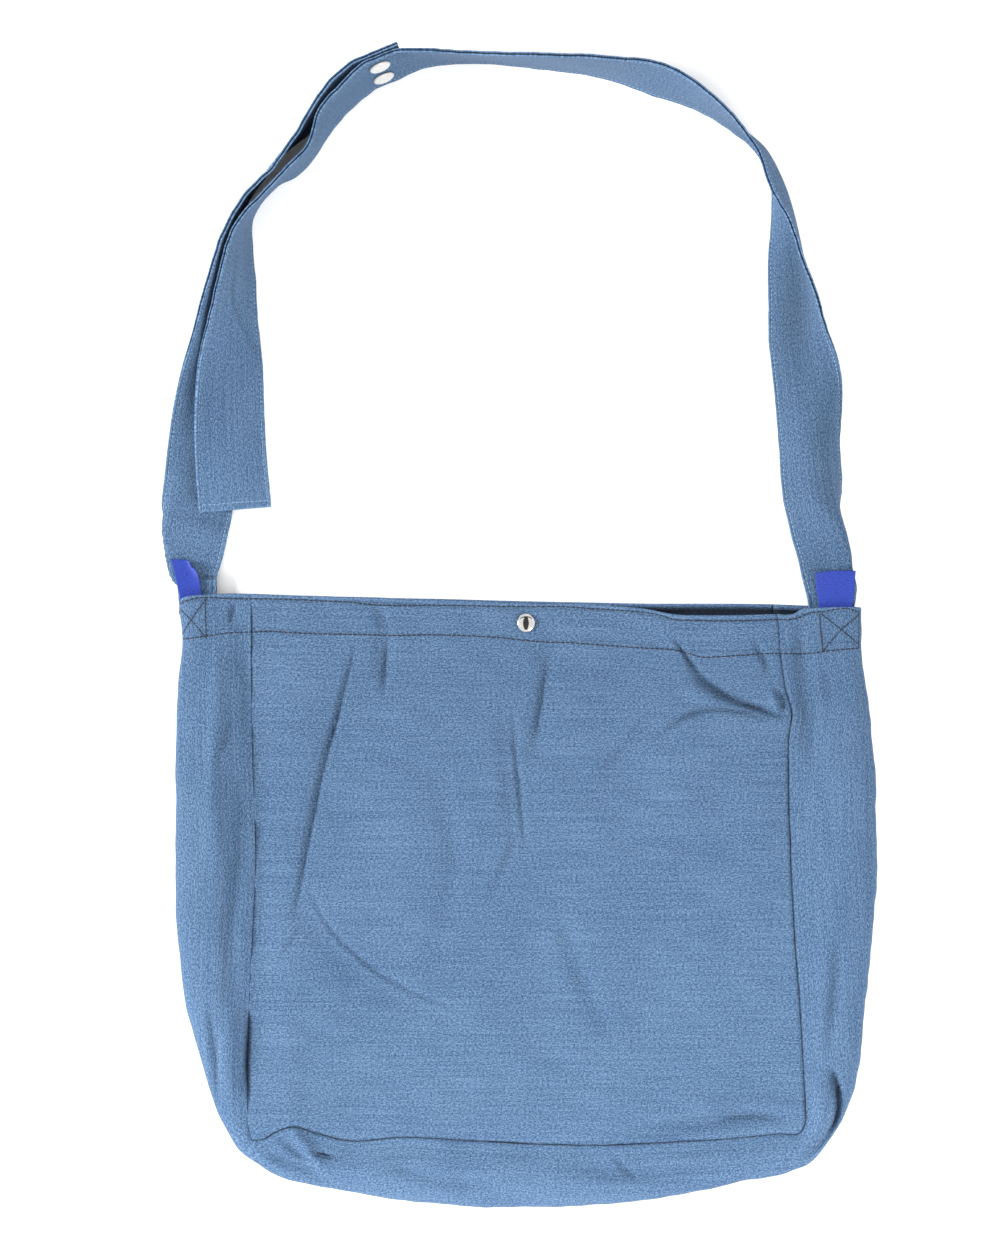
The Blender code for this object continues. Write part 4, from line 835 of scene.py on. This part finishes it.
# The bands are topstitched close to both edges in a pale blue thread that nearly matches the
# cloth, on both faces, and across the tail.
def stitches(name, lines, pitch, share, radius, look, sink=0.45):
    """Rows of stitches: each line is its points and the way the cloth faces at each of them."""
    points, faces = [], []
    around = np.linspace(0, 2 * math.pi, 6, endpoint=False)
    for line, facing in lines:
        keys = run_along(line)
        count = max(1, int(keys[-1] / pitch))
        steps = np.linspace(0, keys[-1], count + 1)[:-1]
        length = keys[-1] / count * share
        for start in steps:
            at = start + length * np.array([0.0, 0.14, 0.5, 0.86, 1.0])
            centre = np.column_stack([np.interp(at, keys, line[:, k]) for k in range(3)])
            up = unit(np.column_stack([np.interp(at, keys, facing[:, k]) for k in range(3)]))
            along = unit(np.gradient(centre, axis=0))
            side = unit(np.cross(along, up))
            size = radius * np.array([0.45, 0.95, 1.0, 0.95, 0.45])
            rise = radius * np.array([-0.9, 0.25, 0.5, 0.25, -0.9]) * (1 - sink) + radius * (0.5 - sink)
            centre = centre + up * rise[:, None]
            base = len(points)
            for k in range(5):
                for a in around:
                    points.append(centre[k] + size[k] * (math.cos(a) * side[k] + 0.8 * math.sin(a) * up[k]))
            for k in range(4):
                for j in range(6):
                    a, b = base + 6 * k + j, base + 6 * k + (j + 1) % 6
                    faces.append((a, a + 6, b + 6, b))
            faces.append(tuple(base + j for j in range(6)))
            faces.append(tuple(base + 24 + j for j in range(5, -1, -1)))
    mesh = bpy.data.meshes.new(name)
    mesh.from_pydata([tuple(p) for p in points], [], faces)
    return placed_object(name, mesh, look)


def two_colours(add, field, low, dark, high, light):
    """A ramp from a darker to a lighter colour over a noise."""
    ramp = add("ValToRGB", {0: field})
    for stop, place, colour in zip(ramp.color_ramp.elements, (low, high), (dark, light)):
        stop.position, stop.color = place, (*colour, 1)
    return ramp.outputs[0]


def thread(name, dark, light):
    """Spun thread: two plies twisted, a little uneven in colour."""
    look, shader, add, links = new_look(name, 0.62)
    place = add("TexCoord").outputs["Object"]
    fibre = add("TexNoise", {"Vector": place}, Scale=900.0, Detail=3.0)
    links.new(two_colours(add, fibre.outputs[0], 0.3, dark, 0.7, light), shader.inputs["Base Color"])
    ply = add("TexWave", {"Vector": place}, Scale=700.0, Distortion=1.5, bands_direction="DIAGONAL")
    bump = add("Bump", {"Height": ply.outputs[1]}, Strength=0.5, Distance=0.0002)
    links.new(bump.outputs[0], shader.inputs["Normal"])
    return look


def edge_rows(grid):
    """The four rows along a band: near each edge, on each face."""
    lines = []
    for where in (EDGE_ROW, STRAP_WIDTH - EDGE_ROW):
        j = int(np.argmin(np.abs(grid["stops"] - where)))
        keep = grid["at"] > STRAP_IN_HEM + 0.012
        for face, sign in (("outer", 1), ("inner", -1)):
            lines.append((grid[face][keep, j], sign * grid["normal"][keep, j]))
    return lines


PALE_THREAD = thread("pale_blue_thread", (0.14, 0.23, 0.34), (0.22, 0.33, 0.44))
tail = int(np.argmin(np.abs(long_grid["at"] - (long_grid["at"][-1] - 0.0042))))
across_tail = slice(10, -10)
tail_rows = [
    (long_grid["outer"][tail, across_tail], long_grid["normal"][tail, across_tail]),
    (long_grid["inner"][tail, across_tail], -long_grid["normal"][tail, across_tail]),
]
strap_rows = edge_rows(long_grid) + edge_rows(short_grid) + tail_rows
strap_sewing = stitches("strap_edge_stitching", strap_rows, 0.0031, 0.78, 0.00026, PALE_THREAD)
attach(strap_sewing, "root")


# The hem is sewn with two rows of near-black thread, and the feet of the strap are held in it by
# a sewn box with a cross. Each point is where the thread lies on the bag, in mm.
UPPER_ROW = [
    (-239.3, 181.5), (-231.5, 185), (-224.5, 186.4), (-219.6, 186.6), (-200, 185.7), (-182.3, 185.7),
    (-154, 185), (-135.2, 184), (-121, 183.3), (-108.3, 181.8), (-92.9, 181.1), (-64.7, 181.1),
    (-38.6, 181), (-4, 180.3), (30.4, 180.1), (44.6, 179), (65.7, 177.7), (86.8, 175.5), (93.8, 173.9),
    (100.9, 171.7), (115, 170.7), (133.9, 170.5), (151.1, 170.7), (169.5, 171.4), (187, 172.5),
    (194, 175.6), (204.7, 177.1), (223.6, 178.4), (229, 176.5),
]
LOWER_ROW = [
    (-236.1, 157.9), (-219.6, 160.1), (-203.4, 162.4), (-189.3, 162.8), (-175.3, 163.2), (-161.2, 162.4),
    (-135.2, 161.4), (-114, 161), (-92.9, 160.4), (-64.7, 161), (-38.6, 160.2), (-28.9, 159.7),
    (-14.5, 158.7), (-4.1, 157.4), (13.1, 155.9), (27.6, 155.6), (37.5, 155), (58.7, 153.4),
    (86.8, 151.5), (100.9, 150.6), (111.5, 148.1), (120, 145.7), (133.9, 146), (151.1, 147),
    (162.4, 148), (176.5, 148), (194.1, 148), (204.7, 149.5), (223.6, 151.3), (229, 151.5),
]
LEFT_BOX = [
    [(-239, 181), (-238, 172), (-236.3, 158)],
    [(-220.3, 186), (-220.3, 175), (-219.7, 160)],
    [(-219.6, 186), (-228, 174.5), (-236.5, 161.4)],
    [(-238.6, 179.4), (-229, 170), (-219.5, 158.3)],
]
RIGHT_BOX = [
    [(201.5, 175.6), (202.9, 160), (203.7, 149.6)],
    [(228.8, 176.6), (228.8, 165), (228.8, 151.6)],
    [(202.9, 175.3), (216, 165), (228.6, 154.4)],
    [(203.7, 149.7), (216.6, 164.7), (228.6, 174.6)],
]


def skin(*pieces):
    """The upper faces of some cloth pieces as one tree to drop points on."""
    points, faces = [], []
    for piece in pieces:
        base = len(points)
        points += [v.co.copy() for v in piece.data.vertices]
        faces += [tuple(base + k for k in f.vertices) for f in piece.data.polygons]
    return BVHTree.FromPolygons(points, faces)


def laid_line(tree, points, step=0.0008, down=-1):
    """A line of thread dropped on the cloth, with the way the cloth faces under it."""
    points = np.array(points, float) / 1000
    keys = run_along(points)
    at = np.linspace(0, keys[-1], max(3, int(keys[-1] / step)))
    line = curve_through(points, keys, at) if len(points) > 3 else np.column_stack(
        [np.interp(at, keys, points[:, k]) for k in (0, 1)]
    )
    found, facing = [], []
    for x, y in line:
        hit, normal, _, _ = tree.ray_cast(Vector((x, y, -down * 0.2)), Vector((0, 0, down)))
        if hit is not None and (not found or (hit - Vector(found[-1])).length < 0.006):
            found.append(tuple(hit))
            facing.append(tuple(normal if normal.z * down < 0 else -normal))
    return np.array(found), np.array(facing)


DARK_THREAD = thread("near_black_thread", (0.002, 0.004, 0.009), (0.006, 0.010, 0.022))
upper_cloth = skin(front, strip)
rows = [laid_line(upper_cloth, line) for line in (UPPER_ROW, LOWER_ROW)]
hem_sewing = stitches("hem_stitching", rows, 0.0034, 0.88, 0.00043, DARK_THREAD)
boxes = [laid_line(upper_cloth, line) for line in LEFT_BOX + RIGHT_BOX]
box_sewing = stitches("box_stitching", boxes, 0.0028, 0.98, 0.00038, DARK_THREAD)
under_rows = []
for down in HEM_ROWS:
    i = int(np.argmin(np.abs(down_back[:, 0] - down)))
    under_rows.append((back_low[i, 2:-2], np.tile((0.0, 0.0, -1.0), (back_low.shape[1] - 4, 1))))
    under_rows.append((back_high[i, 2:-2], np.tile((0.0, 0.0, 1.0), (back_low.shape[1] - 4, 1))))
back_sewing = stitches("back_hem_stitching", under_rows, 0.0034, 0.88, 0.00030, DARK_THREAD, sink=0.8)
for piece in (hem_sewing, box_sewing, back_sewing):
    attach(piece, "root")


# The bands are held together by two snaps with flat white enamelled caps. Each is a cap, a post
# through the cloth, a core between the bands and a ring behind.
def turned(name, look, rings, sides=48):
    """A round piece drawn up from a circle: each ring is its radius and its height."""
    bpy.ops.object.select_all(action="DESELECT")
    radius, height = rings[0]
    bpy.ops.mesh.primitive_circle_add(
        vertices=sides, radius=radius, location=(0, 0, height), fill_type="NGON"
    )
    made = bpy.context.object
    bpy.ops.object.transform_apply()
    bpy.ops.object.mode_set(mode="EDIT")
    bpy.ops.mesh.select_all(action="SELECT")
    for wide, level in rings[1:]:
        bpy.ops.mesh.extrude_region_move(TRANSFORM_OT_translate={"value": (0, 0, level - height)})
        bpy.ops.transform.resize(value=(wide / radius, wide / radius, 1), center_override=(0, 0, level))
        radius, height = wide, level
    bpy.ops.mesh.select_all(action="SELECT")
    bpy.ops.mesh.normals_make_consistent(inside=False)
    bpy.ops.object.mode_set(mode="OBJECT")
    made.name = made.data.name = name
    made.data.materials.append(look)
    bpy.ops.object.shade_smooth_by_angle(angle=math.radians(32))
    return made


def stand(piece, place, facing):
    """Sets a piece's mesh on a place with its axis along the way the cloth faces."""
    turn = facing.to_track_quat("Z", "Y").to_matrix().to_4x4()
    piece.data.transform(Matrix.Translation(place) @ turn)


def metal(name, colour, roughness, metallic, scratch):
    """Plated or enamelled metal, with faint rub marks."""
    look, shader, add, links = new_look(name, roughness, metallic)
    place = add("TexCoord").outputs["Object"]
    rub = add("TexNoise", {"Vector": place}, Scale=420.0, Detail=4.0)
    rubbed = [0.82 * c for c in colour]
    links.new(two_colours(add, rub.outputs[0], 0.25, rubbed, 0.60, colour), shader.inputs["Base Color"])
    fine = add("TexNoise", {"Vector": place}, Scale=2600.0, Detail=2.0)
    bump = add("Bump", {"Height": fine.outputs[0]}, Strength=scratch, Distance=0.0001)
    links.new(bump.outputs[0], shader.inputs["Normal"])
    return look


WHITE_CAP = metal("white_enamel", (0.46, 0.46, 0.45), 0.30, 0.0, 0.10)
near = STRAP_THICK / 2 + FIT_GAP / 2
deep = near + SOCKET_HEIGHT - FIT_GAP
far = deep + STRAP_THICK + FIT_GAP
STRAP_SNAP = [
    (0.0022, near + 0.0018), (0.0045, near + 0.00172), (0.0060, near + 0.00150), (0.0068, near + 0.00122),
    (0.00725, near + 0.00085), (0.0074, near + 0.00050), (0.0075, near + 0.00025), (0.0073, near + 0.00005),
    (0.0069, near), (0.0021, near), (0.0021, -near), (0.0049, -near), (0.0050, -near - 0.0002),
    (0.0050, -deep + 0.0002), (0.0049, -deep), (0.0021, -deep), (0.0021, -far), (0.0048, -far),
    (0.0050, -far - 0.0003), (0.0047, -far - 0.0008), (0.0034, -far - 0.0009), (0.0026, -far - 0.0004),
]
for side, label in ((0.5, "upper"), (-0.5, "lower")):
    snap = turned(f"strap_snap_{label}_cap", WHITE_CAP, STRAP_SNAP)
    stand(snap, snap_place + side * SNAP_SPACING * snap_across, snap_face)
    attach(snap, "root")
    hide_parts(f"strap_snap_{label}")


# The mouth is closed by one nickel-plated snap: a domed cap on the front of the hem, its half
# behind it, and the other half on the back hem.
NICKEL = metal("polished_nickel", (0.66, 0.65, 0.63), 0.08, 1.0, 0.04)
CAP_RISE = 0.0018
half_hem = HEM_CLOTH / 2 + FIT_GAP / 2
CLOSURE = [
    (0.0006, half_hem + 0.00195), (0.0018, half_hem + 0.00190), (0.0030, half_hem + 0.00176),
    (0.0041, half_hem + 0.00152), (0.0050, half_hem + 0.00118), (0.0057, half_hem + 0.00076),
    (0.00605, half_hem + 0.00040), (0.00625, half_hem + 0.00018), (0.0061, half_hem),
    (0.0021, half_hem), (0.0021, -half_hem), (0.0049, -half_hem), (0.0050, -half_hem - 0.0002),
    (0.0050, -half_hem - 0.00085), (0.0047, -half_hem - 0.00098), (0.0031, -half_hem - 0.00098),
    (0.0024, -half_hem - 0.0013), (0.0018, -half_hem - 0.0014),
]
for label, way in (("front", 1.0), ("back", -1.0)):
    low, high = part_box(f"closure_snap_{label}")
    middle = (low + high) / 2
    snap = turned(f"closure_snap_{label}_metal", NICKEL, CLOSURE)
    height = high.z - half_hem - CAP_RISE if way > 0 else low.z + half_hem + CAP_RISE
    stand(snap, Vector((middle.x, middle.y, height)), Vector((0.0, 0.0, way)))
    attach(snap, "root")
    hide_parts(f"closure_snap_{label}")


# Two small folded tags of tightly woven royal blue satin are caught in the hem over the feet of
# the strap. They are plain, and their free corners curl.
TAG_WIDTH, TAG_HEIGHT, TAG_IN_HEM, TAG_THICK = 0.029, 0.025, 0.006, 0.0008
TAG_ROWS, TAG_COLUMNS, TAG_LIFT = 40, 36, 0.0006
ROYAL_DARK, ROYAL_LIGHT = (0.009, 0.022, 0.180), (0.020, 0.046, 0.320)
# name, x, foot, head, lean, curl, side
TAGS = [("left_tag", -1.2465, 0.53, 0.60, -0.20, 0.9, 1), ("right_tag", 1.152, 0.80, 1.00, -0.03, 0.3, -1)]


def satin():
    """Woven label satin: fine ribs across, a soft sheen."""
    look, shader, add, links = new_look("blue_label_satin", 0.48)
    shader.inputs["Sheen Weight"].default_value = 0.04
    shader.inputs["Specular IOR Level"].default_value = 0.25
    cut = add("UVMap", uv_map="cut").outputs[0]
    place = add("Mapping", {"Vector": cut}, Scale=(500, 1500, 1))
    weave = add("TexNoise", {"Vector": place.outputs[0]}, Scale=1.0, Detail=2.0)
    blue = two_colours(add, weave.outputs[0], 0.3, ROYAL_DARK, 0.7, ROYAL_LIGHT)
    tone = add("Attribute", attribute_name="tone").outputs["Fac"]
    edge = add("Mix", {"Factor": tone, 6: blue}, data_type="RGBA")
    edge.inputs[7].default_value = (0.75, 0.80, 0.88, 1)
    links.new(edge.outputs[2], shader.inputs["Base Color"])
    rib = add("TexWave", {"Vector": cut}, Scale=520.0, bands_direction="Y")
    bump = add("Bump", {"Height": rib.outputs[1]}, Strength=0.4, Distance=0.0002)
    links.new(bump.outputs[0], shader.inputs["Normal"])
    return look


def strap_height(tree, x, y):
    """The height of the strap over a place, or the table's."""
    hit = tree.ray_cast(Vector((x, y, 0.3)), Vector((0, 0, -1)))[0]
    return hit.z if hit else 0.0


SATIN = satin()
strap_skins = {"left_tag": skin(short_band), "right_tag": skin(long_band)}
for name, x, foot, head, lean, curl, side in TAGS:
    tree = strap_skins[name]
    x = x * HALF_WIDTH
    edge = HALF_HEIGHT + float(mouth_shift(np.array([x]), np.array([HALF_HEIGHT]), "front")[0])
    lengths = np.linspace(-TAG_IN_HEM, TAG_HEIGHT, TAG_ROWS)
    shares = np.linspace(-0.5, 0.5, TAG_COLUMNS)
    out = np.maximum(lengths, 0) / TAG_HEIGHT
    wide = TAG_WIDTH * blend(foot, head, out)
    gx = x + lean * out[:, None] * TAG_HEIGHT + shares[None, :] * wide[:, None]
    gy = edge + np.repeat(lengths[:, None], TAG_COLUMNS, 1)
    curled = curl * (out[:, None] ** 2 * np.maximum(2 * shares * side, 0)[None, :]) ** 2
    gx, gy = gx - 0.0035 * side * curled, gy - 0.0060 * curled
    under = np.array([[strap_height(tree, *place) for place in zip(*line)] for line in zip(gx, gy)])
    top = under.max(axis=1)
    top = np.array([top[max(0, k - 3) : k + 4].max() for k in range(TAG_ROWS)])
    top = np.convolve(np.pad(top, 3, mode="edge"), np.ones(7) / 7, mode="valid")
    top = np.maximum(top, under.max(axis=1))
    corner = (out[:, None] * np.maximum(shares * side, 0)[None, :]) ** 2
    z = top[:, None] + TAG_LIFT + curl * TAG_HEIGHT * corner
    low = np.dstack([gx, gy, z])
    high = low + (0, 0, TAG_THICK)
    made = cloth_piece(f"{name}_cloth", high, low, np.dstack([gx, gy]), np.zeros_like(gx), SATIN)
    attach(made, "root")
    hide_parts(name)


# The table is a plain white sheet, lit by a large soft light from the left, a weaker one
# from the lower right and a pale room, and looked at from straight above.
bpy.ops.object.select_all(action="DESELECT")
bpy.ops.mesh.primitive_plane_add(size=6.0, location=(0, 0.2, -0.0004))
floor = bpy.context.object
floor.name = "floor"
paper, shader, add, links = new_look("white_surface", 0.9)
shader.inputs["Base Color"].default_value = (0.93, 0.93, 0.93, 1)
floor.data.materials.append(paper)

world = bpy.data.worlds.new("room")
world.use_nodes = True
world.node_tree.nodes["Background"].inputs[0].default_value = (1.0, 1.0, 1.0, 1)
world.node_tree.nodes["Background"].inputs[1].default_value = 1.24
bpy.context.scene.world = world


def softbox(name, place, aim, size, power):
    """A round soft light, aimed at a place on the bag."""
    data = bpy.data.lights.new(name, "AREA")
    data.shape, data.size, data.energy = "DISK", size, power
    lamp = bpy.data.objects.new(name, data)
    bpy.context.scene.collection.objects.link(lamp)
    lamp.location = place
    lamp.rotation_euler = (Vector(aim) - Vector(place)).to_track_quat("-Z", "Y").to_euler()


softbox("window", (-4.5, 0.3, 2.0), (0, 0.15, 0), 1.5, 410.0)
softbox("fill", (2.4, -3.2, 2.2), (0, 0.05, 0), 2.0, 200.0)
# Two black flags overhead give the polished snap its dark streak. They darken nothing else.
FLAGS = (("flag_top", 7.5, 1.5, (-0.02, 3.0, 3.3)), ("flag_low", 1.3, 5.5, (-0.02, -0.2, 3.3)))
for name, wide, high, place in FLAGS:
    bpy.ops.object.select_all(action="DESELECT")
    bpy.ops.mesh.primitive_plane_add(size=1.0, location=place)
    flag = bpy.context.object
    flag.name = name
    flag.scale = (wide, high, 1)
    bpy.ops.object.transform_apply(location=False, rotation=False, scale=True)
    cloth, shader, add, links = new_look(f"{name}_black", 0.9)
    shader.inputs["Base Color"].default_value = (0.015, 0.015, 0.015, 1)
    flag.data.materials.append(cloth)
    flag.visible_diffuse = flag.visible_shadow = False

# The frame is 0.8625 m high on the table.
SENSOR, CAMERA_HEIGHT, FRAME_HEIGHT = 36, 3.0, 0.8625
lens = bpy.data.cameras.new("lens")
camera = bpy.data.objects.new("camera", lens)
bpy.context.scene.collection.objects.link(camera)
camera.location = (-0.0179, 0.1677, CAMERA_HEIGHT)
lens.sensor_width = SENSOR
lens.lens = SENSOR * CAMERA_HEIGHT / FRAME_HEIGHT
lens.clip_end = 20
bpy.context.scene.camera = camera
bpy.context.scene.view_settings.view_transform = "Standard"
